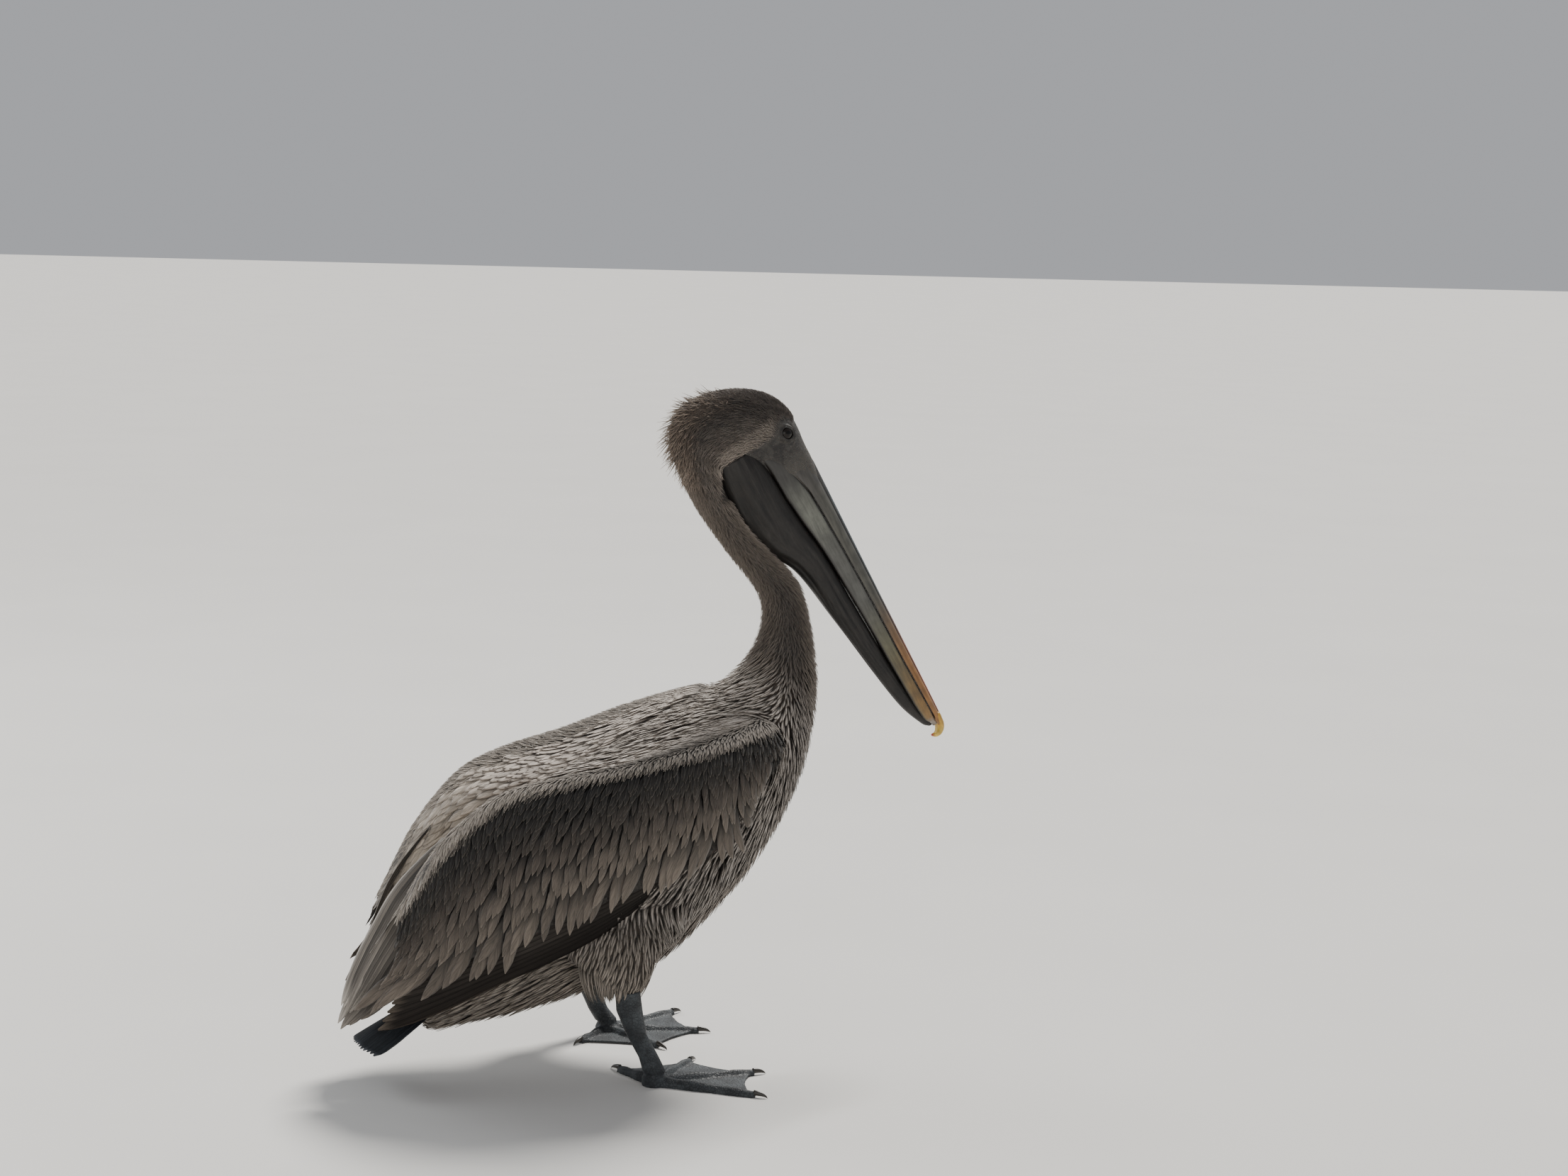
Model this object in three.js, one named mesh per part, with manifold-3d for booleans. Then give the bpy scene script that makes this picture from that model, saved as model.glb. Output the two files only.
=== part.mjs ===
// A life-size immature brown pelican standing at rest, its neck folded back
// in an S and its long bill laid down towards the breast.
//
// Millimetres.  X points the way the bird faces, Y to its left, Z up.  The
// parts are laid out about the point on the floor midway between the feet,
// and the finished group is moved so that its origin is the middle of the
// foot of its bounding box.

import * as THREE from 'three';
import { mergeVertices } from 'three/addons/utils/BufferGeometryUtils.js';
import Module from 'manifold-3d';

const wasm = await Module();
wasm.setup();

// ---------------------------------------------------------------- dimensions

const GAP = 0.3; // clearance between neighbouring parts

// The body is one long form from the rump to the forehead.  Each station is
// a slice: where it meets the upper outline, where it meets the lower one,
// its half width, and how much of that width sits towards the upper side.
const BODY = [
  { top: [-236, 88], low: [-206, 44], half: 22, egg: 0.0 }, // rump
  { top: [-208, 140], low: [-150, 52], half: 40, egg: 0.0 },
  { top: [-176, 196], low: [-96, 60], half: 57, egg: 0.05 },
  { top: [-138, 246], low: [-40, 75], half: 76, egg: 0.1 }, // hips
  { top: [-90, 281], low: [22, 96], half: 90, egg: 0.1 },
  { top: [-40, 303], low: [70, 137], half: 97, egg: 0.1 },
  { top: [8, 327], low: [111, 182], half: 98, egg: 0.1 }, // widest
  { top: [48, 348], low: [142, 230], half: 92, egg: 0.1 },
  { top: [82, 363], low: [165, 277], half: 78, egg: 0.1 }, // breast
  { top: [104, 381], low: [181, 326], half: 56, egg: 0.1 },
  { top: [118, 402], low: [186, 372], half: 38, egg: 0.05 }, // root of the neck
  { top: [127, 430], low: [179, 420], half: 28, egg: 0.0 },
  { top: [121, 456], low: [166, 466], half: 24, egg: 0.0 }, // bend of the neck
  { top: [100, 481], low: [138, 496], half: 22, egg: 0.0 },
  { top: [69, 519], low: [108, 525], half: 23, egg: 0.05 },
  { top: [44, 556], low: [90, 552], half: 25, egg: 0.1 },
  { top: [28, 598], low: [80, 574], half: 29, egg: 0.2 }, // nape
  { top: [29, 632], low: [88, 574], half: 31, egg: 0.25 },
  { top: [54, 651], low: [97, 574], half: 33, egg: 0.25 },
  { top: [86, 659], low: [105, 573], half: 33, egg: 0.2 }, // crown
  { top: [119, 656], low: [112, 571], half: 31, egg: 0.12 },
  { top: [145, 641], low: [118, 569], half: 27, egg: 0.0 }, // brow
  { top: [160, 617], low: [124, 567], half: 22, egg: -0.05 },
  { top: [168, 593], low: [129, 565], half: 18, egg: -0.1 }, // edge of the bill
];
const BODY_SIDES = 20;
const RINGS_PER_STATION = 2;
const TRUNK_END = 9.5; // stations at which the long form is parted
const NECK_MIDDLE = 12.5;
const NECK_END = 16;
const LAST_STATION = BODY.length - 1;
const PART_STEP = 0.012; // share of a station left open at each parting

// Spiked crest down the back of the head: a fan of feathers about a point
// inside the head, thick at its root and thin at its tips.
const CREST = {
  root: [48, 612], reach: 43, notch: 8, tips: 5, lean: 0.6, first: 150, last: 228, thick: 56, thin: 4,
};

// The eyes.
const EYE = { x: 135, y: 18.8, z: 615, radius: 7.6, grid: [10, 6] };

// The bill hangs from the forehead along a straight line.  Depths are taken
// square to that line, from the ridge of the bill, at distances along it.
const BILL_BASE = [170, 594];
const BILL_PITCH = THREE.MathUtils.degToRad(59.6); // below the horizontal
const BILL = [
  { at: 0.5, gape: 30, ramus: 47.5, half: 18 },
  { at: 30, gape: 22, ramus: 44.5, half: 16 },
  { at: 90, gape: 17.3, ramus: 35, half: 13 },
  { at: 160, gape: 14, ramus: 29, half: 10.8 },
  { at: 230, gape: 12.4, ramus: 25.4, half: 10.4 },
  { at: 280, gape: 10.6, ramus: 22.6, half: 10.4 },
  { at: 308, gape: 9, ramus: 18.5, half: 8 },
];
const BILL_SIDES = 12;
const RINGS_PER_BILL_ROW = 1.5;

// The nail curls over the end of the bill: depth of its middle, along the
// bill, and its thickness.
const NAIL = [
  { at: 308.5, depth: 4.8, high: 8, half: 7.6 },
  { at: 315, depth: 4.6, high: 8.6, half: 7.4 },
  { at: 321, depth: 7.6, high: 7.6, half: 6 },
  { at: 323, depth: 13, high: 5.6, half: 4 },
  { at: 321.5, depth: 17, high: 3.2, half: 2 },
];

// The pouch hangs between the two rods of the lower jaw, from the throat to
// near the tip: depth of its upper and lower edges along the bill.
const POUCH = [
  { at: -40, upper: 50, lower: 97, half: 24 },
  { at: -14, upper: 46, lower: 99, half: 26.5 },
  { at: 25, upper: 45, lower: 98, half: 25 },
  { at: 60, upper: 40.5, lower: 89, half: 20 },
  { at: 95, upper: 35, lower: 68, half: 15.5 },
  { at: 160, upper: 29.3, lower: 55, half: 11.5 },
  { at: 225, upper: 26, lower: 44, half: 9.6 },
  { at: 275, upper: 23.3, lower: 34, half: 7.8 },
  { at: 304, upper: 20.5, lower: 23, half: 4.5 },
];

// The folded wing, given for the right side, as rails that run from the
// shoulder to the rear: in the fold of the back, over the back, along the
// ridge, down the outer side and along the tips of the coverts.  The first
// rail and the first point of each lie under the feathers of the body.
const COVERT_RAILS = [
  [
    [98, -34, 352], [80, -40, 346], [30, -38, 326], [-45, -34, 288],
    [-110, -22, 257], [-163, -13, 206], [-205, -9, 150], [-232, -9, 112],
  ],
  [
    [98, -48, 350], [80, -64, 346], [30, -60, 328], [-45, -52, 301],
    [-110, -42, 283], [-165, -34, 261], [-210, -28, 221], [-240, -26, 172],
  ],
  [
    [113, -68, 338], [97, -90, 341], [30, -104, 325], [-45, -101, 310],
    [-110, -88, 297], [-160, -70, 279], [-212, -57, 232], [-248, -49, 176],
  ],
  [
    [119, -76, 310], [103, -106, 316], [36, -119, 284], [-40, -121, 255],
    [-105, -114, 230], [-158, -99, 204], [-210, -80, 170], [-247, -65, 141],
  ],
  [
    [106, -80, 280], [88, -104, 288], [47, -111, 224], [-39, -110, 191],
    [-100, -106, 168], [-154, -96, 145], [-204, -82, 127], [-247, -65, 117],
  ],
];
const COVERT_DEPTH = [34, 12]; // thickness in front and at the rear
const COVERT_GRID = [15, 9];

const SECONDARY_RAILS = [
  [[14, -101, 226], [-50, -100, 204], [-105, -97, 183], [-155, -88, 161], [-200, -74, 146], [-240, -58, 138]],
  [[6, -103, 212], [-58, -98, 180], [-112, -94, 157], [-160, -86, 137], [-208, -71, 117], [-254, -55, 102]],
  [[-2, -101, 200], [-64, -93, 157], [-118, -88, 132], [-166, -80, 112], [-217, -66, 87], [-270, -49, 62]],
];
const SECONDARY_DEPTH = [7, 5];
const SECONDARY_GRID = [12, 3];

const PRIMARY_RAILS = [
  [[-200, -24, 238], [-240, -20, 196], [-264, -19, 158], [-286, -20, 116], [-303, -30, 70]],
  [[-192, -44, 222], [-228, -42, 180], [-253, -40, 142], [-278, -38, 102], [-301, -36, 66]],
  [[-186, -60, 196], [-214, -56, 152], [-240, -52, 116], [-262, -48, 86], [-294, -42, 60]],
];
const PRIMARY_DEPTH = [9, 3];
const PRIMARY_GRID = [9, 4];

// The left wing sits higher at the shoulder, and its rear lies further
// forward and closer to the body.
const LEFT_WING = { lift: 9, forward: 9, tuck: 14 };

const FEATHER_EDGE = 1.6; // thickness of a wing or tail at its feather tips
const EDGE_RUN = { across: 4, along: 8 }; // how steeply a wing thickens inwards from its rim

// The tail is a short fan, roofed slightly along its middle.
const TAIL = { root: [-200, 86], tip: [-276, 39], rootHalf: 24, tipHalf: 41, roof: 6, round: 0.1, depth: 9 };
const TAIL_FEATHERS = 9;
const TAIL_SCALLOP = 5;

// Feathered thighs: centre in plan, half length, half width, at each height.
const THIGH = [
  { z: 172, x: -22, y: 56, long: 60, wide: 34 },
  { z: 138, x: -40, y: 66, long: 56, wide: 30 },
  { z: 118, x: -43, y: 76, long: 41, wide: 23 },
  { z: 104, x: -42, y: 84, long: 25, wide: 15.5 },
  { z: 94, x: -38, y: 87, long: 15.5, wide: 11.5 },
];

// Bare legs, from under the thigh feathers to the toe joint.
const LEG_SIDE = 86.7; // distance of a leg from the middle of the body
const LEG_RIGHT = [
  { x: -37, z: 93.6, long: 12.5, wide: 9 },
  { x: -35, z: 76, long: 13.2, wide: 9.5 }, // heel
  { x: -27, z: 51, long: 10, wide: 7.6 },
  { x: -14, z: 28, long: 10, wide: 7.6 },
  { x: -8, z: 13.5, long: 11.5, wide: 9.5 },
];
const LEG_LEFT = [
  { x: -30, z: 93.6, long: 12.5, wide: 9 },
  { x: -24, z: 76, long: 13.2, wide: 9.5 },
  { x: -12, z: 48, long: 10.4, wide: 7.6 },
  { x: -2, z: 26, long: 10.2, wide: 7.6 },
  { x: 7, z: 13.5, long: 11.5, wide: 9.5 },
];

// Toes, numbered from the hind toe out: length without the claw, and the
// direction in which each points, in degrees to the bird's left.
const FOOT_RIGHT = {
  joint: [-8, -86.7],
  toes: [{ long: 52, turn: 109 }, { long: 78, turn: 42 }, { long: 103, turn: -1 }, { long: 101, turn: -40 }],
};
const FOOT_LEFT = {
  joint: [8, 86.7],
  toes: [{ long: 47, turn: -144 }, { long: 72, turn: -65 }, { long: 93, turn: -19 }, { long: 95, turn: 24 }],
};
const TOE = {
  rootHalf: 8, tipHalf: 4.2, rootHigh: 12, tipHigh: 6.5, knuckle: 0.09, knuckles: 2.5, rings: 5, sides: 6,
};
const JOINT = { half: 12, high: 13.2, topLong: 9, topWide: 8.4 };
const WEB = { floor: 1, thick: 2, hollow: 0.07, reach: 0.97, segments: 4 };
const CLAW = { long: 12.5, half: 2.6, root: 4.2, drop: 3.6, taper: 0.85, bend: 1.3, rings: 3, sides: 5 };

const COLOURS = {
  plumage: [0x5d5650, 0.85],
  head: [0x6a5f57, 0.9],
  coverts: [0x6b645c, 0.8],
  flight: [0x35312e, 0.7],
  skin: [0x33302e, 0.6],
  bill: [0x6f7474, 0.5],
  nail: [0xc0973f, 0.45],
  eye: [0x20140c, 0.1],
  foot: [0x3c3f42, 0.65],
};

// -------------------------------------------------------------------- solids

function material([colour, roughness]) {
  return new THREE.MeshStandardMaterial({ color: colour, roughness, metalness: 0 });
}

function solid(geometry) {
  const bare = geometry.index ? geometry.toNonIndexed() : geometry.clone();
  bare.deleteAttribute('normal');
  bare.deleteAttribute('uv');
  const merged = mergeVertices(bare, 1e-4);
  return new wasm.Manifold(new wasm.Mesh({
    numProp: 3,
    vertProperties: new Float32Array(merged.attributes.position.array),
    triVerts: new Uint32Array(merged.index.array),
  }));
}

// The largest single piece left by a cut.
function mainPiece(body) {
  const pieces = body.decompose();
  pieces.sort((a, b) => b.volume() - a.volume());
  return pieces[0];
}

function cut(body, ...tools) {
  return mainPiece(tools.reduce((left, tool) => left.subtract(tool), body));
}

function geometryOf(body) {
  const mesh = body.getMesh();
  const geometry = new THREE.BufferGeometry();
  geometry.setAttribute('position', new THREE.BufferAttribute(mesh.vertProperties, 3));
  geometry.setIndex(new THREE.BufferAttribute(mesh.triVerts, 1));
  return geometry;
}

// A closed solid from rings of points, each ring wound the same way, with a
// fan of faces over both ends.
function skinRings(rings) {
  const sides = rings[0].length;
  const points = rings.flat();
  const faces = [];
  for (let i = 0; i < rings.length - 1; i += 1) {
    for (let j = 0; j < sides; j += 1) {
      const a = i * sides + j;
      const b = i * sides + ((j + 1) % sides);
      faces.push(a, b, b + sides, a, b + sides, a + sides);
    }
  }
  const cap = (start, order) => {
    const middle = points.length;
    const centre = new THREE.Vector3();
    for (let j = 0; j < sides; j += 1) centre.add(points[start + j]);
    points.push(centre.divideScalar(sides));
    for (let j = 0; j < sides; j += 1) {
      const pair = [start + j, start + ((j + 1) % sides)];
      faces.push(middle, pair[order], pair[1 - order]);
    }
  };
  cap(0, 1);
  cap((rings.length - 1) * sides, 0);
  return outward(points, faces);
}

// A geometry from points and faces, turned right side out.
function outward(points, faces) {
  let volume = 0;
  for (let i = 0; i < faces.length; i += 3) {
    const [a, b, c] = [points[faces[i]], points[faces[i + 1]], points[faces[i + 2]]];
    volume += a.dot(new THREE.Vector3().crossVectors(b, c));
  }
  const geometry = new THREE.BufferGeometry().setFromPoints(points);
  geometry.setIndex(volume < 0 ? faces.toReversed() : faces);
  return geometry;
}

// A smooth curve through points, read at a place counted in points.
function rail(points) {
  const curve = new THREE.CatmullRomCurve3(points, false, 'catmullrom', 0.5);
  return (place) => curve.getPoint(THREE.MathUtils.clamp(place / (points.length - 1), 0, 1));
}

// Places from one to another, with all the even steps that lie between.
function steps(from, to, each) {
  const places = [from];
  for (let k = Math.floor(from * each) + 1; k < to * each; k += 1) places.push(k / each);
  return [...places, to];
}

// Rings of a form whose slices stand across the middle plane of the body.
function slices(stations, places, sides, grow = 0) {
  const top = rail(stations.map((s) => new THREE.Vector3(s.top[0], 0, s.top[1])));
  const low = rail(stations.map((s) => new THREE.Vector3(s.low[0], 0, s.low[1])));
  const width = rail(stations.map((s) => new THREE.Vector3(s.half, s.egg ?? 0, 0)));
  return places.map((place) => {
    const centre = top(place).add(low(place)).multiplyScalar(0.5);
    const up = top(place).sub(centre);
    up.setLength(up.length() + grow);
    const { x: half, y: egg } = width(place);
    const ring = [];
    for (let j = 0; j < sides; j += 1) {
      const angle = (2 * Math.PI * j) / sides;
      const point = centre.clone().addScaledVector(up, Math.cos(angle));
      point.y = (half + grow) * Math.sin(angle) * (1 + egg * Math.cos(angle));
      ring.push(point);
    }
    return ring;
  });
}

function bodyLength(from, to, grow = 0) {
  return solid(skinRings(slices(BODY, steps(from, to, RINGS_PER_STATION), BODY_SIDES, grow)));
}

// A point beside the bill: distance along it, depth below its ridge.
function billPoint(along, depth) {
  const cos = Math.cos(BILL_PITCH);
  const sin = Math.sin(BILL_PITCH);
  return [BILL_BASE[0] + along * cos - depth * sin, BILL_BASE[1] - along * sin - depth * cos];
}

function billLength(rows, grow = 0) {
  const stations = rows.map((row) => ({
    top: billPoint(row.at, row.upper),
    low: billPoint(row.at, row.lower),
    half: row.half,
    egg: row.egg ?? 0,
  }));
  const places = steps(0, stations.length - 1, RINGS_PER_BILL_ROW);
  return solid(skinRings(slices(stations, places, BILL_SIDES, grow)));
}

// A feathered layer: an outer surface spanned by rails, with a thickness
// behind it that thins to a feather edge on every side.
function layer(rails, depth, [along, across], grow = 0) {
  const curves = rails.map((points) => rail(points.map((p) => new THREE.Vector3(...p))));
  const lastPoint = rails[0].length - 1;
  const surface = (u, v) => rail(curves.map((curve) => curve(u * lastPoint)))(v * (curves.length - 1));
  return shell(surface, (u, v) => {
    const aside = EDGE_RUN.across * Math.min(v, 1 - v);
    const inner = Math.min(1, aside, EDGE_RUN.along * Math.min(u, 1 - u));
    return THREE.MathUtils.lerp(FEATHER_EDGE, THREE.MathUtils.lerp(...depth, u), Math.sqrt(inner));
  }, along, across, grow);
}

function shell(surface, thickness, along, across, grow = 0) {
  const outer = [];
  const inner = [];
  const step = 1e-3;
  const clamp = (value) => THREE.MathUtils.clamp(value, 0, 1);
  for (let i = 0; i <= along; i += 1) {
    for (let j = 0; j <= across; j += 1) {
      const [u, v] = [i / along, j / across];
      const here = surface(u, v);
      const du = surface(clamp(u + step), v).sub(surface(clamp(u - step), v));
      const dv = surface(u, clamp(v + step)).sub(surface(u, clamp(v - step)));
      const normal = new THREE.Vector3().crossVectors(du, dv).normalize();
      here.addScaledVector(du.normalize(), grow * (Math.floor(i / along) - (i === 0)));
      here.addScaledVector(dv.normalize(), grow * (Math.floor(j / across) - (j === 0)));
      outer.push(here.clone().addScaledVector(normal, grow));
      inner.push(here.clone().addScaledVector(normal, -thickness(u, v) - grow));
    }
  }
  const width = across + 1;
  const points = [...outer, ...inner];
  const faces = [];
  const quad = (a, b, c, d) => faces.push(a, b, c, a, c, d);
  for (let i = 0; i < along; i += 1) {
    for (let j = 0; j < across; j += 1) {
      const a = i * width + j;
      quad(a, a + width, a + width + 1, a + 1);
      const b = a + outer.length;
      quad(b, b + 1, b + width + 1, b + width);
    }
  }
  const rim = [];
  for (let i = 0; i < along; i += 1) rim.push(i * width);
  for (let j = 0; j < across; j += 1) rim.push(along * width + j);
  for (let i = along; i > 0; i -= 1) rim.push(i * width + across);
  for (let j = across; j > 0; j -= 1) rim.push(j);
  rim.forEach((a, k) => {
    const b = rim[(k + 1) % rim.length];
    quad(a, a + outer.length, b + outer.length, b);
  });
  return solid(outward(points, faces));
}

// --------------------------------------------------------------------- parts

const pelican = new THREE.Group();

function add(name, body, colour) {
  const mesh = new THREE.Mesh(geometryOf(body), material(colour));
  mesh.name = name;
  pelican.add(mesh);
}

function eyeBall(side, grow = 0) {
  const ball = new THREE.SphereGeometry(EYE.radius + grow, ...EYE.grid);
  ball.translate(EYE.x, side * EYE.y, EYE.z);
  return solid(ball);
}

// The fan of stiff feathers on the nape, a flat comb joined to the head.
function crest() {
  const outline = new THREE.Shape();
  const degree = THREE.MathUtils.degToRad(1);
  const corner = (turn, reach) => [
    CREST.root[0] + reach * Math.cos(turn * degree),
    CREST.root[1] + reach * Math.sin(turn * degree),
  ];
  outline.moveTo(...CREST.root);
  for (let i = 0; i < CREST.tips; i += 1) {
    const share = (CREST.last - CREST.first) / CREST.tips;
    const start = CREST.first + share * i;
    outline.lineTo(...corner(start, CREST.reach - CREST.notch));
    outline.lineTo(...corner(start + CREST.lean * share, CREST.reach));
  }
  outline.lineTo(...corner(CREST.last, CREST.reach - CREST.notch));
  const comb = new THREE.ExtrudeGeometry(outline, { depth: 1, bevelEnabled: false });
  comb.translate(0, 0, -0.5);
  comb.rotateX(Math.PI / 2);
  const point = comb.attributes.position;
  for (let i = 0; i < point.count; i += 1) {
    const away = Math.hypot(point.getX(i) - CREST.root[0], point.getZ(i) - CREST.root[1]);
    const thick = THREE.MathUtils.lerp(CREST.thick, CREST.thin, away / CREST.reach);
    point.setY(i, point.getY(i) * thick);
  }
  return solid(comb);
}

function addHead() {
  const bare = bodyLength(NECK_END + PART_STEP, LAST_STATION).add(crest());
  const neck = bodyLength(NECK_MIDDLE, NECK_END, GAP);
  add('head', cut(bare, neck, eyeBall(-1, GAP), eyeBall(1, GAP)), COLOURS.head);
  add('eye_right', eyeBall(-1), COLOURS.eye);
  add('eye_left', eyeBall(1), COLOURS.eye);
}

function addBill() {
  const upper = BILL.map((row) => ({ ...row, upper: 0, lower: row.gape - GAP, egg: -0.35 }));
  const lower = BILL.map((row) => ({ ...row, upper: row.gape, lower: row.ramus, egg: 0.15 }));
  const nail = NAIL.map((row) => ({
    at: row.at,
    upper: row.depth - row.high / 2,
    lower: row.depth + row.high / 2,
    half: row.half,
  }));
  const [fromX, fromZ] = billPoint(0, 0);
  const [toX, toZ] = billPoint(GAP, 0);
  const face = bodyLength(NECK_END, LAST_STATION, GAP).translate([toX - fromX, 0, toZ - fromZ]);
  const aroundNail = billLength(nail, GAP);
  const aroundLower = billLength(lower, GAP);
  add('bill_upper', cut(billLength(upper), face, aroundNail, aroundLower), COLOURS.bill);
  add('bill_lower', cut(billLength(lower), face, aroundNail), COLOURS.bill);
  add('bill_nail', billLength(nail), COLOURS.nail);
  const neck = bodyLength(TRUNK_END, LAST_STATION, GAP);
  add('pouch', cut(billLength(POUCH), neck, face, aroundLower), COLOURS.skin);
}

function addTrunk() {
  add('trunk', bodyLength(0, TRUNK_END), COLOURS.plumage);
  add('neck_lower', bodyLength(TRUNK_END + PART_STEP, NECK_MIDDLE), COLOURS.plumage);
  add('neck_upper', bodyLength(NECK_MIDDLE + PART_STEP, NECK_END), COLOURS.head);
}

// A point of the right wing carried over to the left one, which is folded a
// little differently.
function leftward([x, y, z]) {
  const shoulder = THREE.MathUtils.smoothstep(x, -70, 60);
  const rear = THREE.MathUtils.smoothstep(-x, 150, 260);
  const end = THREE.MathUtils.smoothstep(-x, 240, 310);
  return [
    x + LEFT_WING.forward * rear + LEFT_WING.tuck * end,
    -y - LEFT_WING.tuck * end,
    z + LEFT_WING.lift * shoulder,
  ];
}

// On the left the rails are taken in the other order, so that the surface
// still faces outwards.
function handed(rails, sign) {
  return sign < 0 ? rails : rails.map((points) => points.map(leftward)).toReversed();
}

function addWing(side, sign, trunk) {
  const feathers = (rails, depth, grid, grow) => layer(handed(rails, sign), depth, grid, grow);
  const coverts = [COVERT_RAILS, COVERT_DEPTH, COVERT_GRID];
  const secondaries = [SECONDARY_RAILS, SECONDARY_DEPTH, SECONDARY_GRID];
  const primaries = [PRIMARY_RAILS, PRIMARY_DEPTH, PRIMARY_GRID];
  const aroundCoverts = feathers(...coverts, GAP);
  const aroundSecondaries = feathers(...secondaries, GAP);
  add(`wing_${side}`, cut(feathers(...coverts), trunk), COLOURS.coverts);
  add(`secondaries_${side}`, cut(feathers(...secondaries), aroundCoverts, trunk), COLOURS.flight);
  const tips = cut(feathers(...primaries), aroundCoverts, aroundSecondaries, trunk);
  add(`primaries_${side}`, tips, COLOURS.flight);
}

function addTail(trunk) {
  const [rootX, rootZ] = TAIL.root;
  const [tipX, tipZ] = TAIL.tip;
  const surface = (u, v) => {
    const side = 2 * v - 1;
    const scallop = TAIL_SCALLOP * Math.abs(Math.sin(Math.PI * TAIL_FEATHERS * v));
    const reach = u * (1 - TAIL.round * side * side) + (u * u * scallop) / (rootX - tipX);
    return new THREE.Vector3(
      THREE.MathUtils.lerp(rootX, tipX, reach),
      side * THREE.MathUtils.lerp(TAIL.rootHalf, TAIL.tipHalf, u),
      THREE.MathUtils.lerp(rootZ, tipZ, reach) - TAIL.roof * side * side,
    );
  };
  const thickness = (u, v) => {
    const inner = Math.sqrt(Math.min(1, EDGE_RUN.across * Math.min(v, 1 - v)));
    return THREE.MathUtils.lerp(FEATHER_EDGE, TAIL.depth, inner * (1 - u));
  };
  add('tail', cut(shell(surface, thickness, 3, 2 * TAIL_FEATHERS), trunk), COLOURS.flight);
}

// Rings that lie level, one above the next.
function levelRings(rows, sides) {
  return rows.map((row) => {
    const ring = [];
    for (let j = 0; j < sides; j += 1) {
      const angle = (2 * Math.PI * j) / sides;
      ring.push(new THREE.Vector3(
        row.x + row.long * Math.cos(angle),
        row.y + row.wide * Math.sin(angle),
        row.z,
      ));
    }
    return ring;
  });
}

// A toe lies along the floor on a flat sole and is domed above.
function toe([x, y], { long, turn }) {
  const angle = THREE.MathUtils.degToRad(turn);
  const ahead = new THREE.Vector3(Math.cos(angle), Math.sin(angle), 0);
  const aside = new THREE.Vector3(-Math.sin(angle), Math.cos(angle), 0);
  const rings = [];
  for (let i = 0; i <= TOE.rings; i += 1) {
    const share = i / TOE.rings;
    const knuckle = 1 + TOE.knuckle * Math.cos(2 * Math.PI * share * TOE.knuckles);
    const half = THREE.MathUtils.lerp(TOE.rootHalf, TOE.tipHalf, Math.sqrt(share)) * knuckle;
    const high = THREE.MathUtils.lerp(TOE.rootHigh, TOE.tipHigh, Math.sqrt(share)) * knuckle;
    const ring = [];
    for (let j = 0; j < TOE.sides; j += 1) {
      const round = (Math.PI * j) / (TOE.sides - 1);
      ring.push(new THREE.Vector3(x, y, high * Math.sin(round))
        .addScaledVector(ahead, share * long)
        .addScaledVector(aside, half * Math.cos(round)));
    }
    rings.push(ring);
  }
  return solid(skinRings(rings));
}

function toeTip([x, y], { long, turn }, share) {
  const angle = THREE.MathUtils.degToRad(turn);
  return [x + share * long * Math.cos(angle), y + share * long * Math.sin(angle)];
}

// The web between two toes, hollowed along its free edge.
function web(joint, first, second) {
  const a = toeTip(joint, first, WEB.reach);
  const b = toeTip(joint, second, WEB.reach);
  const towards = (value, i) => THREE.MathUtils.lerp(value, joint[i], 2 * WEB.hollow);
  const bow = [towards((a[0] + b[0]) / 2, 0), towards((a[1] + b[1]) / 2, 1)];
  const outline = new THREE.Shape();
  outline.moveTo(...joint);
  outline.lineTo(...a);
  outline.quadraticCurveTo(...bow, ...b);
  const sheet = new THREE.ExtrudeGeometry(outline, {
    depth: WEB.thick,
    bevelEnabled: false,
    curveSegments: WEB.segments,
  });
  sheet.translate(0, 0, WEB.floor);
  return solid(sheet);
}

// A claw grows out of the end of a toe and curves down to just off the floor.
function claw([x, y], { long, turn }) {
  const angle = THREE.MathUtils.degToRad(turn);
  const rings = [];
  for (let i = 0; i <= CLAW.rings; i += 1) {
    const share = i / CLAW.rings;
    const thick = CLAW.half * (1 - CLAW.taper * share);
    const ahead = long + GAP + CLAW.long * Math.sin(share * CLAW.bend);
    const height = CLAW.root - CLAW.drop * share * share;
    const ring = [];
    for (let j = 0; j < CLAW.sides; j += 1) {
      const round = (2 * Math.PI * j) / CLAW.sides;
      const aside = thick * Math.cos(round);
      ring.push(new THREE.Vector3(
        x + ahead * Math.cos(angle) - aside * Math.sin(angle),
        y + ahead * Math.sin(angle) + aside * Math.cos(angle),
        height + thick * Math.sin(round),
      ));
    }
    rings.push(ring);
  }
  return solid(skinRings(rings));
}

// The rounded block in which the toes meet under the leg.
function toeJoint([x, y]) {
  const rows = [
    { x, y, z: 0, long: JOINT.half, wide: JOINT.half },
    { x, y, z: JOINT.high / 2, long: JOINT.half, wide: JOINT.half },
    { x, y, z: JOINT.high, long: JOINT.topLong, wide: JOINT.topWide },
  ];
  return solid(skinRings(levelRings(rows, 12)));
}

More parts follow.
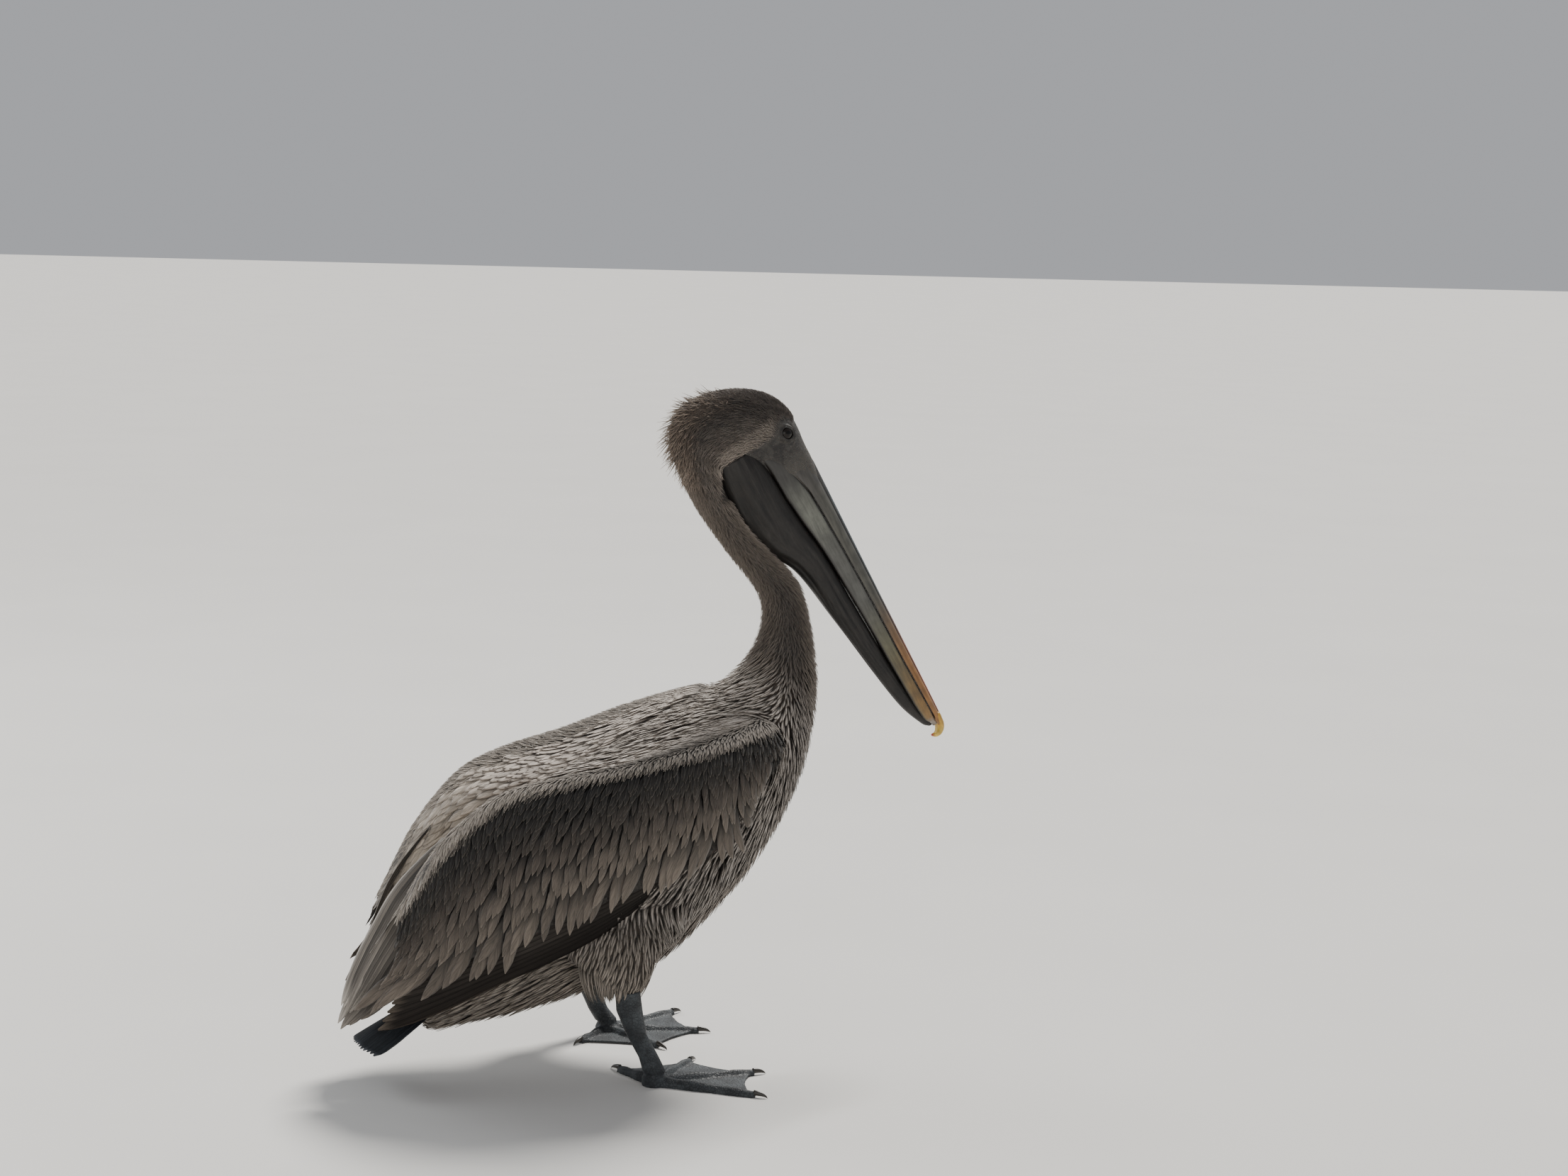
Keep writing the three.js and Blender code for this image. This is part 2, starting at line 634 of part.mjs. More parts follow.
function addLeg(side, sign, legRows, foot, trunk) {
  const thighRows = THIGH.map((row) => ({ ...row, y: sign * row.y }));
  add(`thigh_${side}`, cut(solid(skinRings(levelRings(thighRows, 18))), trunk), COLOURS.plumage);
  const shank = legRows.map((row) => ({ ...row, y: sign * LEG_SIDE }));
  add(`leg_${side}`, solid(skinRings(levelRings(shank, 12))), COLOURS.foot);
  const sole = foot.toes.map((one) => toe(foot.joint, one));
  const webs = foot.toes.slice(1).map((one, i) => web(foot.joint, foot.toes[i], one));
  const whole = [...sole, ...webs].reduce((sum, piece) => sum.add(piece), toeJoint(foot.joint));
  add(`foot_${side}`, whole, COLOURS.foot);
  foot.toes.forEach((one, i) => add(`claw_${side}_${i + 1}`, claw(foot.joint, one), COLOURS.eye));
}

addHead();
addBill();
addTrunk();
const aroundTrunk = bodyLength(0, NECK_MIDDLE, GAP);
addWing('right', -1, aroundTrunk);
addWing('left', 1, aroundTrunk);
addTail(aroundTrunk);
addLeg('right', -1, LEG_RIGHT, FOOT_RIGHT, aroundTrunk);
addLeg('left', 1, LEG_LEFT, FOOT_LEFT, aroundTrunk);

const bounds = new THREE.Box3().setFromObject(pelican);
const middle = bounds.getCenter(new THREE.Vector3());
pelican.position.set(-middle.x, -middle.y, -bounds.min.z);
pelican.updateMatrixWorld(true);

export default pelican;
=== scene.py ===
# Looks of the standing brown pelican: one skin over the body, some 33,000
# solid feathers in tracts over the skin, and the bare parts in detail.
#
# Lengths are laid out in millimetres about the point midway between the feet,
# as the solids were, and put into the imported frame, in metres, by place().

import math

import bpy
import numpy as np
from mathutils import Matrix, Vector
from mathutils.bvhtree import BVHTree
from mathutils.kdtree import KDTree


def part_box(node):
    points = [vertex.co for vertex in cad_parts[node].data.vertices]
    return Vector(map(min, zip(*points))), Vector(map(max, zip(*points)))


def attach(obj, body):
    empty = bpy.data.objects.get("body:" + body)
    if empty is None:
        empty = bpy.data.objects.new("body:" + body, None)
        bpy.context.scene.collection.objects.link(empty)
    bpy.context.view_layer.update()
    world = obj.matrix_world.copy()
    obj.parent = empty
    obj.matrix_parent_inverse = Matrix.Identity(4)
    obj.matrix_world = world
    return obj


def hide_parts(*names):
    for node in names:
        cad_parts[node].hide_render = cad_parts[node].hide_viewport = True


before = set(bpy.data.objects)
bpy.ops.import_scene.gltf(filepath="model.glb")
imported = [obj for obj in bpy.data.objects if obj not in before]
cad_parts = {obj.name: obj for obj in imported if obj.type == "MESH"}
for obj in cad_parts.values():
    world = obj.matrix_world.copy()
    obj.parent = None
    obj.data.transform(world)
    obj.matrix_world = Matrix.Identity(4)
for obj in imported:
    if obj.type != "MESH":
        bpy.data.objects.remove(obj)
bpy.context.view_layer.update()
MM = 0.001
rng = np.random.default_rng(11)

# ------------------------------------------------------------------ the frame

EYE = (135.0, 18.8, 615.0)
EYE_RADIUS = 7.6
eye_low, eye_high = (np.array(corner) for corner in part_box("eye_right"))
SHIFT = (eye_low + eye_high) / 2 / MM - np.array([EYE[0], -EYE[1], EYE[2]])


def place(points):
    """Layout millimetres to packed metres."""
    return (np.asarray(points, float) + SHIFT) * MM


def unplace(points):
    """Packed metres to layout millimetres."""
    return np.asarray(points, float) / MM - SHIFT


# Slices of the body from the rump to the bill: upper and lower outline, half width.
BODY = np.array([
    [-236, 88, -206, 44, 22], [-208, 140, -150, 52, 40], [-176, 196, -96, 60, 57],
    [-138, 246, -40, 75, 76], [-90, 281, 22, 96, 90], [-40, 303, 70, 137, 97],
    [8, 327, 111, 182, 98], [48, 348, 142, 230, 92], [82, 363, 165, 277, 78],
    [104, 381, 181, 326, 56], [118, 402, 186, 372, 38], [127, 430, 179, 420, 28],
    [121, 456, 166, 466, 24], [100, 481, 138, 496, 22], [69, 519, 108, 525, 23],
    [44, 556, 90, 552, 25], [28, 598, 80, 574, 29], [29, 632, 88, 574, 31],
    [54, 651, 97, 574, 33], [86, 659, 105, 573, 33], [119, 656, 112, 571, 31],
    [145, 641, 118, 569, 27], [160, 617, 124, 567, 22], [168, 593, 129, 565, 18],
], float)
NECK_START = 10.0
HEAD_START = 15.3

# The folded wing, right side, as curves from shoulder to rear: in the fold of the back, over the
# back, along the ridge, down the outer side and along the covert tips.
COVERT_RAILS = [
    [[98, -34, 352], [80, -40, 346], [30, -38, 326], [-45, -34, 288],
     [-110, -22, 257], [-163, -13, 206], [-205, -9, 150], [-232, -9, 112]],
    [[98, -48, 350], [80, -64, 346], [30, -60, 328], [-45, -52, 301],
     [-110, -42, 283], [-165, -34, 261], [-210, -28, 221], [-240, -26, 172]],
    [[113, -68, 338], [97, -90, 341], [30, -104, 325], [-45, -101, 310],
     [-110, -88, 297], [-160, -70, 279], [-212, -57, 232], [-248, -49, 176]],
    [[119, -76, 310], [103, -106, 316], [36, -119, 284], [-40, -121, 255],
     [-105, -114, 230], [-158, -99, 204], [-210, -80, 170], [-247, -65, 141]],
    [[106, -80, 280], [88, -104, 288], [47, -111, 224], [-39, -110, 191],
     [-100, -106, 168], [-154, -96, 145], [-204, -82, 127], [-247, -65, 117]],
]
SECONDARY_RAILS = [
    [[14, -101, 226], [-50, -100, 204], [-105, -97, 183],
     [-155, -88, 161], [-200, -74, 146], [-240, -58, 138]],
    [[6, -103, 212], [-58, -98, 180], [-112, -94, 157],
     [-160, -86, 137], [-208, -71, 117], [-254, -55, 102]],
    [[-2, -101, 200], [-64, -93, 157], [-118, -88, 132],
     [-166, -80, 112], [-217, -66, 87], [-270, -49, 62]],
]
PRIMARY_RAILS = [
    [[-200, -24, 238], [-240, -20, 196], [-264, -19, 158], [-286, -20, 116], [-303, -30, 70]],
    [[-192, -44, 222], [-228, -42, 180], [-253, -40, 142], [-278, -38, 102], [-301, -36, 66]],
    [[-186, -60, 196], [-214, -56, 152], [-240, -52, 116], [-262, -48, 86], [-294, -42, 60]],
]
# The left wing is the right one turned over, a little higher, further forward and tucked in behind.
LEFT_WING = {"lift": 9, "forward": 9, "tuck": 14}
TAIL = {"root": (-200, 86), "tip": (-276, 39), "root_half": 24, "tip_half": 41, "roof": 6}

BILL_BASE = np.array([170.0, 594.0])
BILL_PITCH = math.radians(59.6)


def smooth(value, low, high):
    """0 at low to 1 at high, eased at both ends; low may be the larger."""
    t = np.clip((np.asarray(value, float) - low) / (high - low), 0, 1)
    return t * t * (3 - 2 * t)


def unit(v):
    """Vectors of length one."""
    return v / np.maximum(np.linalg.norm(v, axis=-1, keepdims=True), 1e-12)


def square_to(v, n):
    """The part of v that is square to the unit vectors n, at length one."""
    return unit(v - n * (v * n).sum(1, keepdims=True))


def between(p, t):
    """Points carried on straight by one at both ends, and the gap and the way over it for places t."""
    p = np.concatenate([2 * p[:1] - p[1:2], p, 2 * p[-1:] - p[-2:-1]])
    t = np.clip(t, 0, len(p) - 3)
    i = np.minimum(t.astype(int), len(p) - 4)
    return p, i, t - i


def eased(a, b, c, d, w):
    """The smooth curve from b to c, w of the way over, with a before them and d after."""
    ma, mb = (c - a) / 2, (d - b) / 2
    return ((2 * w**3 - 3 * w**2 + 1) * b + (w**3 - 2 * w**2 + w) * ma
            + (3 * w**2 - 2 * w**3) * c + (w**3 - w**2) * mb)


def circle(count):
    """Angles evenly round a full turn."""
    return np.linspace(0, 2 * math.pi, count, endpoint=False)


def rail(points, t):
    """A smooth curve through points, read at places counted in points."""
    p, i, w = between(np.asarray(points, float), np.asarray(t, float))
    return eased(p[i], p[i + 1], p[i + 2], p[i + 3], w.reshape(w.shape + (1,) * (p.ndim - 1)))


def bill_point(along, depth):
    """Side view of the bill: distance along it, depth square to its ridge."""
    cos, sin = math.cos(BILL_PITCH), math.sin(BILL_PITCH)
    x, z = BILL_BASE
    return np.stack([x + along * cos - depth * sin, z - along * sin - depth * cos], -1)


# ------------------------------------------------------------ body coordinates

DENSE = np.linspace(0, len(BODY) - 1, 231)
DENSE_ROWS = rail(BODY, DENSE)


def body_place(points):
    """For each layout point: slice number, share from upper to lower outline, angle round the slice."""
    xz = points[:, [0, 2]]
    best = np.full(len(points), np.inf)
    place_s = np.zeros(len(points))
    share = np.zeros(len(points))
    for s, row in zip(DENSE, DENSE_ROWS):
        top, low = row[0:2], row[2:4]
        line = low - top
        t = np.clip(((xz - top) @ line) / (line @ line), -0.1, 1.1)
        away = np.linalg.norm(xz - top - t[:, None] * line, axis=1)
        closer = away < best
        best[closer], place_s[closer], share[closer] = away[closer], s, t[closer]
    angle = np.arctan2(points[:, 1], (0.5 - share) * 2 * rail(BODY, place_s)[:, 4])
    return place_s, share, angle


def face_edge(points):
    """Height over the line where the cheek's feathers end above the bare skin and the pouch."""
    rise, square = 0.6, 0.857
    return (points[:, 2] - 580 - rise * (points[:, 0] - 69)) * square


def body_flow(place_s, share):
    """The way feathers point on the body, from the bill to the rump, in the middle plane."""
    step = 0.25
    ahead, behind = rail(BODY, place_s + step), rail(BODY, place_s - step)
    top, low = behind[:, 0:2] - ahead[:, 0:2], behind[:, 2:4] - ahead[:, 2:4]
    front = share[:, None]
    side = unit(top) * (1 - front) + unit(low) * front
    return unit(np.stack([side[:, 0], np.zeros(len(side)), side[:, 1]], -1))


# -------------------------------------------------------------- mesh plumbing

def make_mesh(name, verts, quads=None, tris=None, uvs=(), colours=()):
    """A mesh object from metres, its faces, named corner UVs and named vertex colours."""
    mesh = bpy.data.meshes.new(name)
    faces = [f for f in (quads, tris) if f is not None and len(f)]
    loops = np.concatenate([f.ravel() for f in faces])
    sizes = np.concatenate([np.full(len(f), f.shape[1]) for f in faces])
    mesh.vertices.add(len(verts))
    mesh.vertices.foreach_set("co", np.asarray(verts, np.float32).ravel())
    mesh.loops.add(len(loops))
    mesh.loops.foreach_set("vertex_index", loops.astype(np.int32))
    mesh.polygons.add(len(sizes))
    starts = np.concatenate([[0], np.cumsum(sizes)[:-1]])
    mesh.polygons.foreach_set("loop_start", starts.astype(np.int32))
    mesh.update(calc_edges=True)
    for uv_name, per_vertex in uvs:
        layer = mesh.uv_layers.new(name=uv_name)
        layer.data.foreach_set("uv", np.asarray(per_vertex, np.float32)[loops].ravel())
    for colour_name, per_vertex in colours:
        attribute = mesh.color_attributes.new(colour_name, "FLOAT_COLOR", "POINT")
        rgba = np.ones((len(verts), 4), np.float32)
        rgba[:, : per_vertex.shape[1]] = per_vertex
        attribute.data.foreach_set("color", rgba.ravel())
    mesh.polygons.foreach_set("use_smooth", np.ones(len(sizes), bool))
    obj = bpy.data.objects.new(name, mesh)
    bpy.context.scene.collection.objects.link(obj)
    return obj


def finish_piece(obj, material, slot, replaced=()):
    """One material, the part's one body and the CAD nodes it stands for; slot is not used."""
    obj.data.materials.clear()
    obj.data.materials.append(material)
    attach(obj, "root")
    if replaced:
        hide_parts(*replaced)
    return obj


def read_out(rows, key, width, kind):
    """One property of a mesh's vertices, loops or triangles as an array (rows, width)."""
    values = np.empty(len(rows) * width, kind)
    rows.foreach_get(key, values)
    return values.reshape(len(rows), width)


def node_arrays(names):
    """Vertices and triangles of CAD nodes, joined."""
    verts, tris, start = [], [], 0
    for name in names:
        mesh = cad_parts[name].data
        mesh.calc_loop_triangles()
        verts.append(read_out(mesh.vertices, "co", 3, np.float32))
        tris.append(read_out(mesh.loop_triangles, "vertices", 3, np.int32) + start)
        start += len(mesh.vertices)
    return np.concatenate(verts), np.concatenate(tris)


def evaluated(obj):
    """Vertices and quads of an object with its modifiers on."""
    depsgraph = bpy.context.evaluated_depsgraph_get()
    mesh = bpy.data.meshes.new_from_object(obj.evaluated_get(depsgraph))
    co = read_out(mesh.vertices, "co", 3, np.float32).astype(float)
    quads = read_out(mesh.loops, "vertex_index", 1, np.int32).reshape(-1, 4)
    bpy.data.meshes.remove(mesh)
    return co, quads


def remeshed(names, voxel, more=None):
    """One even quad skin round several CAD nodes: its largest piece only."""
    verts, tris = node_arrays(names)
    if more is not None:
        verts, tris = (np.concatenate([verts, more[0]]),
                       np.concatenate([tris, more[1] + len(verts)]))
    temp = make_mesh("temp", verts, tris=tris)
    remesh = temp.modifiers.new("remesh", "REMESH")
    remesh.mode = "VOXEL"
    remesh.voxel_size = voxel
    co, quads = evaluated(temp)
    bpy.data.objects.remove(temp)
    return largest_piece(co, quads)


def largest_piece(co, quads):
    """The connected part of a mesh that has most vertices."""
    label = np.arange(len(co))
    while True:
        low = label[quads].min(1)
        new = label.copy()
        np.minimum.at(new, quads.ravel(), np.repeat(low, 4))
        new = new[new]
        if (new == label).all():
            break
        label = new
    values, counts = np.unique(label, return_counts=True)
    keep = label == values[counts.argmax()]
    index = np.cumsum(keep) - 1
    return co[keep], index[quads[keep[quads[:, 0]]]]


def edges_of(quads):
    """Each edge once, as a pair of vertices."""
    edges = np.concatenate([quads[:, [k, (k + 1) % 4]] for k in range(4)])
    return np.unique(np.sort(edges, 1), axis=0)


def relaxed(co, edges, rounds, amount=0.6, hold=0.0):
    """Laplacian smoothing; hold above 0 puts back part of the lost volume each round."""
    degree = np.zeros(len(co))
    np.add.at(degree, edges.ravel(), 1)
    for step in range(rounds):
        total = np.zeros_like(co)
        for axis in range(co.shape[1]):
            total[:, axis] = np.bincount(edges[:, 0], co[edges[:, 1], axis], len(co))
            total[:, axis] += np.bincount(edges[:, 1], co[edges[:, 0], axis], len(co))
        share = -hold if hold and step % 2 else amount
        co = co + share * (total / degree[:, None] - co)
    return co


def quad_across(co, quads):
    """The cross product of each quad's diagonals: along its normal, twice its area long."""
    return np.cross(co[quads[:, 2]] - co[quads[:, 0]], co[quads[:, 3]] - co[quads[:, 1]])


def vertex_normals(co, quads):
    """Outward normals at the vertices, by the area of the quads round them."""
    across = quad_across(co, quads)
    normal = np.zeros_like(co)
    for k in range(4):
        np.add.at(normal, quads[:, k], across)
    return unit(normal)


# ---------------------------------------------------------------- the markings

def rgb(text):
    """sRGB hex to linear."""
    value = np.array([int(text[i:i + 2], 16) for i in (0, 2, 4)]) / 255
    return np.where(value <= 0.04045, value / 12.92, ((value + 0.055) / 1.055) ** 2.4)


CROWN, HEAD_SIDE, CHEEK, NAPE_HIGHLIGHT = rgb("3d3530"), rgb("6c635b"), rgb("b5a99d"), rgb("7a6c5f")
NECK, NECK_SHADE = rgb("776d63"), rgb("453e39")
BREAST, BREAST_PALE = rgb("26211e"), rgb("b0a79e")
BELLY, BELLY_PALE = rgb("463c35"), rgb("94867a")
VENT, VENT_PALE = rgb("776d62"), rgb("978d81")
MANTLE, MANTLE_PALE, RUMP = rgb("5b4f46"), rgb("d6ccc0"), rgb("4d453f")
WING_BLACK, WING_BROWN, WING_GREY = rgb("191714"), rgb("423a33"), rgb("756b60")
WING_SILVER, WING_PALE = rgb("a3998e"), rgb("cfc7bc")
FLIGHT, FLIGHT_GREY, FLIGHT_PALE = rgb("221d1a"), rgb("6f6a64"), rgb("8f877d")
BARE_FACE, WARM_FACE = rgb("2a2827"), rgb("5a5650")
# Painted shade for the seams along the bill's cutting edges.
SEAM_SHADE = rgb("1f1c19")


def mix(a, b, share):
    """Colour a to colour b; there are as many results as shares."""
    share = np.asarray(share, float)[..., None]
    return a * (1 - share) + b * share


def noise3(points, scale, seed):
    """A cheap smooth wander in space, about -1 to 1."""
    r = np.random.default_rng(seed)
    total = np.zeros(len(points))
    for _ in range(5):
        wave = r.normal(size=3) / scale
        total += np.sin(points @ wave * 2 * math.pi + r.uniform(0, 6.28))
    return total / 2.5


def body_marks(points, s, share):
    """Plumage colours of the body without its wings: middle of a feather, its rim, skin beneath."""
    x, z = points[:, 0], points[:, 2]
    blotch = noise3(points, 60, 1)[:, None] * 0.06 + 1
    frost = np.clip(0.5 + 0.5 * noise3(points, 16, 3), 0, 1)
    crown = smooth(share, 0.5, 0.2) * smooth(s, HEAD_START - 0.5, HEAD_START + 1.5)
    head = mix(mix(HEAD_SIDE, CHEEK, 0.4 * frost), CROWN, crown * (1 - 0.3 * frost))
    # The nape is painted lighter: a painted highlight where the light from behind catches its feathers.
    nape = smooth(share, 0.3, 0.12) * smooth(s, 13.5, 15.5) * smooth(s, 19.5, 17.5)
    head = mix(head, NAPE_HIGHLIGHT, nape * 0.55)
    # A paler band runs along the cheek, just above the bare skin.
    cheek = smooth(np.abs(face_edge(points) - 7), 12, 4) * smooth(x, 58, 74) * smooth(x, 130, 112)
    head = mix(head, CHEEK, 0.85 * cheek * (s > 15))
    # The neck is darker down its sides low down: painted shade; in front under the head it is frosted.
    sides = smooth(share, 0.1, 0.3) * smooth(share, 0.75, 0.45) * smooth(s, 13.5, 12)
    neck = mix(NECK, NECK_SHADE, sides * 0.6)
    neck = mix(neck, CHEEK, 0.5 * smooth(share, 0.72, 0.95) * smooth(s, 12.6, 14))
    front = smooth(share, 0.35, 0.6)
    low = smooth(share, 0.8, 1.0) * smooth(s, 8.5, 6.5)
    rim_body = mix(mix(MANTLE, RUMP, smooth(s, 4, 1.5)), mix(BREAST, BELLY, low), front)
    pale = mix(MANTLE_PALE, mix(BREAST_PALE, BELLY_PALE, low), front)
    thigh = smooth(z, 150, 120) * smooth(np.abs(x + 5), 75, 55)
    pale = mix(pale, BELLY_PALE * 0.8, thigh * 0.7)
    # Under the tail the plumage is smooth, pale and hardly streaked.
    vent = smooth(share, 0.5, 0.66) * smooth(s, 4.8, 3.0) * 0.8
    pale, rim_body = mix(pale, VENT_PALE, vent), mix(rim_body, VENT, vent)
    to_neck = smooth(s, NECK_START - 1.2, NECK_START + 0.4)
    to_head = smooth(s, HEAD_START - 1.2, HEAD_START + 0.3)
    middle = mix(mix(pale, neck, to_neck), head, to_head)
    rim = mix(mix(rim_body, neck * 1.25, to_neck), head * 1.5, to_head)
    under = mix(mix(rim_body, neck * 0.5, to_neck), head * 0.5, to_head)
    return middle * blotch, rim * blotch, under


# ------------------------------------------------------------------- the skin

# Along the bill: depth of the gape, depth of the jaw's lower edge, half width.
BILL_AT = np.array([0.5, 30, 90, 160, 230, 280, 308])
BILL_GAPE = np.array([30, 22, 17.3, 14, 12.4, 10.6, 9.0])
BILL_RAMUS = np.array([47.5, 44.5, 35, 29, 25.4, 22.6, 18.5])
BILL_HALF = np.array([18, 16, 13, 10.8, 10.4, 10.4, 8.0])


def along_bill(table, at):
    """A bill measure read at distances along it, eased between its rows."""
    place_in = np.interp(at, BILL_AT, np.arange(len(BILL_AT)))
    return rail(table[:, None], place_in)[:, 0]


def bill_rings(at, across, depth):
    """Rings from half widths (r, m) and depths (r, m) at distances along the bill."""
    xz = bill_point(at[:, None], depth)
    return np.stack([xz[..., 0], across, xz[..., 1]], -1)


def ring_faces(rings):
    """A closed solid over rings (r, m, 3): vertices, quads between rings, triangles of the ends."""
    r, m, _ = rings.shape
    verts = np.concatenate([rings.reshape(-1, 3), [rings[0].mean(0), rings[-1].mean(0)]])
    i, j = np.arange(r - 1)[:, None] * m, np.arange(m)
    nxt = (j + 1) % m
    quads = np.stack([i + j, i + nxt, i + m + nxt, i + m + j], -1).reshape(-1, 4)
    last = (r - 1) * m
    ends = [np.stack([np.full(m, r * m), nxt, j], -1),
            np.stack([np.full(m, r * m + 1), last + j, last + nxt], -1)]
    return verts, quads, np.concatenate(ends)


def turned_out(verts, *faces):
    """The same faces, all turned over if the first of them look inwards."""
    a, b, c = (verts[faces[0][:, corner]] for corner in range(3))
    facing = np.einsum("ij,ij->i", a - verts.mean(0), np.cross(b - a, c - a)).sum()
    return [f[:, ::-1] if facing < 0 else f for f in faces]


# The face runs on into the bill: the skin goes a little way in under the horn.
at = np.array([-22, -12, -4, 4, 12, 20, 30, 42], float)
grow = np.interp(at, [-22, -4, 8, 20, 42], [-3, 0.9, 0.2, -1.2, -4])[:, None]
turn = circle(28)[None]
middle = along_bill(BILL_RAMUS, at)[:, None] / 2
tall = middle + grow
round_side = np.sign(np.sin(turn)) * np.abs(np.sin(turn)) ** 0.6
across = (along_bill(BILL_HALF, at)[:, None] + grow) * round_side
stub_verts, stub_quads, stub_ends = ring_faces(bill_rings(at, across, middle - tall * np.cos(turn)))
stub_tris = np.concatenate([stub_quads[:, [0, 1, 2]], stub_quads[:, [0, 2, 3]], stub_ends])
stub_tris, = turned_out(stub_verts, stub_tris)

FLESH = ["trunk", "neck_lower", "neck_upper", "head", "wing_right", "wing_left",
         "thigh_right", "thigh_left"]
SKIN_VOXEL = 0.0028
co, quads = remeshed(FLESH, SKIN_VOXEL, (place(stub_verts), stub_tris))
edges = edges_of(quads)


def crest_in(points):
    """Draws the spiked crest of the solids back to the nape: its feathers are laid one by one."""
    s, _, _ = body_place(points)
    row = rail(BODY, s)
    top, line = row[:, 0:2], row[:, 2:4] - row[:, 0:2]
    share = ((points[:, [0, 2]] - top) * line).sum(1) / (line * line).sum(1)
    out = np.clip(0.02 - share, 0, None) * ((s > 14.5) & (s < 20))
    moved = points.copy()
    moved[:, [0, 2]] += line * out[:, None]
    return moved


co = place(crest_in(unplace(co)))
co = relaxed(co, edges, 16)

trees = []
for node in FLESH:
    node_verts, node_tris = node_arrays([node])
    trees.append(BVHTree.FromPolygons(node_verts.tolist(), node_tris.tolist()))
# Each vertex of the skin belongs to the flesh node that it lies nearest to.
node_of = np.array([[tree.find_nearest(p)[3] for tree in trees] for p in co.tolist()]).argmin(1)
is_wing, is_thigh = (
    (node_of == FLESH.index(kind + "_right")) | (node_of == FLESH.index(kind + "_left"))
    for kind in ("wing", "thigh"))
skin_mm = unplace(co)
skin_s, skin_share, skin_angle = body_place(skin_mm)


def eye_distance(points_mm):
    """Distance to the eye on the same side."""
    folded = points_mm.copy()
    folded[:, 1] = np.abs(folded[:, 1])
    return np.linalg.norm(folded - EYE, axis=1)


def bare(points_mm, s):
    """How bare of feathers the face is: round the eye, over the lores to the bill, below the cheek."""
    ring = smooth(eye_distance(points_mm), 17, 12)
    lores = smooth(s, 21.9, 22.4)
    jaw = smooth(face_edge(points_mm), 1.5, -1.5) * smooth(points_mm[:, 0], 64, 70) * (s > 15)
    return np.maximum(np.maximum(ring, lores), jaw)


def coat_depth(points_mm, s, wing, thigh):
    """How deep the plumage lies on the skin: deep on the body, thin on the face and over the legs."""
    depth = np.interp(s, [0, 2, 9, 11, 14, 16, 20, 21.6, 22.4],
                      [6, 8, 8, 5.5, 4.5, 4.2, 3.2, 1.6, 0.3])
    depth = np.where(wing, 5.5, depth)
    depth = np.where(thigh, np.interp(points_mm[:, 2], [92, 115, 150], [1.5, 4.5, 7]), depth)
    return depth * (1 - 0.9 * smooth(eye_distance(points_mm), 18, 11))


def shrunk(co, quads, depth):
    """Moves the skin in by the coat's depth, but never through what is behind it."""
    sight, skin_off, most = 0.03, 1e-4, 0.35
    normal = vertex_normals(co, quads)
    tree = BVHTree.FromPolygons(co.tolist(), quads.tolist())
    room = np.empty(len(co))
    for i, (p, n) in enumerate(zip(co.tolist(), normal.tolist())):
        hit = tree.ray_cast(Vector(p) - Vector(n) * skin_off, -Vector(n), sight)
        room[i] = hit[3] if hit[3] is not None else sight
    return co - normal * np.minimum(depth * MM, most * room)[:, None]


depth = coat_depth(skin_mm, skin_s, is_wing, is_thigh)
depth = relaxed(depth[:, None], edges, 6)[:, 0]
co = shrunk(co, quads, depth)
# Below the cheek's feathers the bare skin draws in to the pouch and the jaw.
JAW_HALF = 22.5
skin_mm = unplace(co)
jaw = (smooth(face_edge(skin_mm), 0.5, -6) * smooth(skin_mm[:, 0], 56, 64) * (skin_s > 14.5)
       * smooth(skin_s, 22.6, 21.5))
wide = np.abs(skin_mm[:, 1])
skin_mm[:, 1] = np.sign(skin_mm[:, 1]) * (wide * (1 - jaw) + np.minimum(wide, JAW_HALF) * jaw)
co = relaxed(place(skin_mm), edges, 6, 0.5)
skin_normal = vertex_normals(co, quads)
skin_tree = BVHTree.FromPolygons(co.tolist(), quads.tolist())
skin_mm = unplace(co)

flow = body_flow(skin_s, skin_share)
thigh_flow = unit(np.array([-0.3, 0.0, -1.0]))
thigh_share = relaxed(is_thigh[:, None].astype(float), edges, 8)
flow = unit(flow * (1 - thigh_share) + thigh_flow * thigh_share)
flow = square_to(flow, skin_normal)

# ------------------------------------------------------------ feather building

# Cross-sections of a vane, (across, height), with the shaft in the middle.
SLIM = np.array([[-1, -0.2], [0, 1], [1, -0.2]], float)
ROOFED = np.array([[-1, -0.1], [-0.52, 0.7], [0, 1.1], [0.52, 0.7], [1, -0.1], [0, -0.4]], float)
# How far a vane's sides hang, and the size of its patch on the unwrap.
DROOP = 0.1
PATCH = 0.003
# Share of a feather's full half width at places along it, by its shape.
SHAPES = {
    "hair": ([0, 0.3, 1], [0.7, 1, 0.08]),
    "pointed": ([0, 0.12, 0.35, 0.6, 0.82, 0.94, 1], [0.3, 0.75, 1, 0.92, 0.6, 0.3, 0.05]),
    "lance": ([0, 0.1, 0.3, 0.62, 0.82, 0.93, 1], [0.3, 0.72, 0.95, 1, 0.72, 0.4, 0.06]),
    "round": ([0, 0.1, 0.3, 0.7, 0.86, 0.95, 1], [0.3, 0.7, 0.92, 1, 0.86, 0.58, 0.12]),
    "flight": ([0, 0.08, 0.25, 0.75, 0.9, 0.97, 1], [0.35, 0.7, 0.95, 1, 0.82, 0.5, 0.1]),
}


def vane_times(count):
    """Places along a vane, closer together towards its tip."""
    return np.linspace(0, 1, count) ** 0.85


def unwrap(a, b):
    """Places on the unwrap of the skin, from shares of its width and height, clear of its border."""
    return 0.03 + 0.94 * np.stack(np.broadcast_arrays(a, b), 1)


def body_spot(s, angle):
    """Places on the unwrap for body coordinates."""
    return unwrap(s / (len(BODY) - 1), angle / (2 * math.pi) + 0.5)


def wing_spot(u, v):
    """Places on the unwrap for a wing's coordinates, which start below 0."""
    return unwrap((u + 0.17) / 1.17, (v + 0.33) / 1.33)


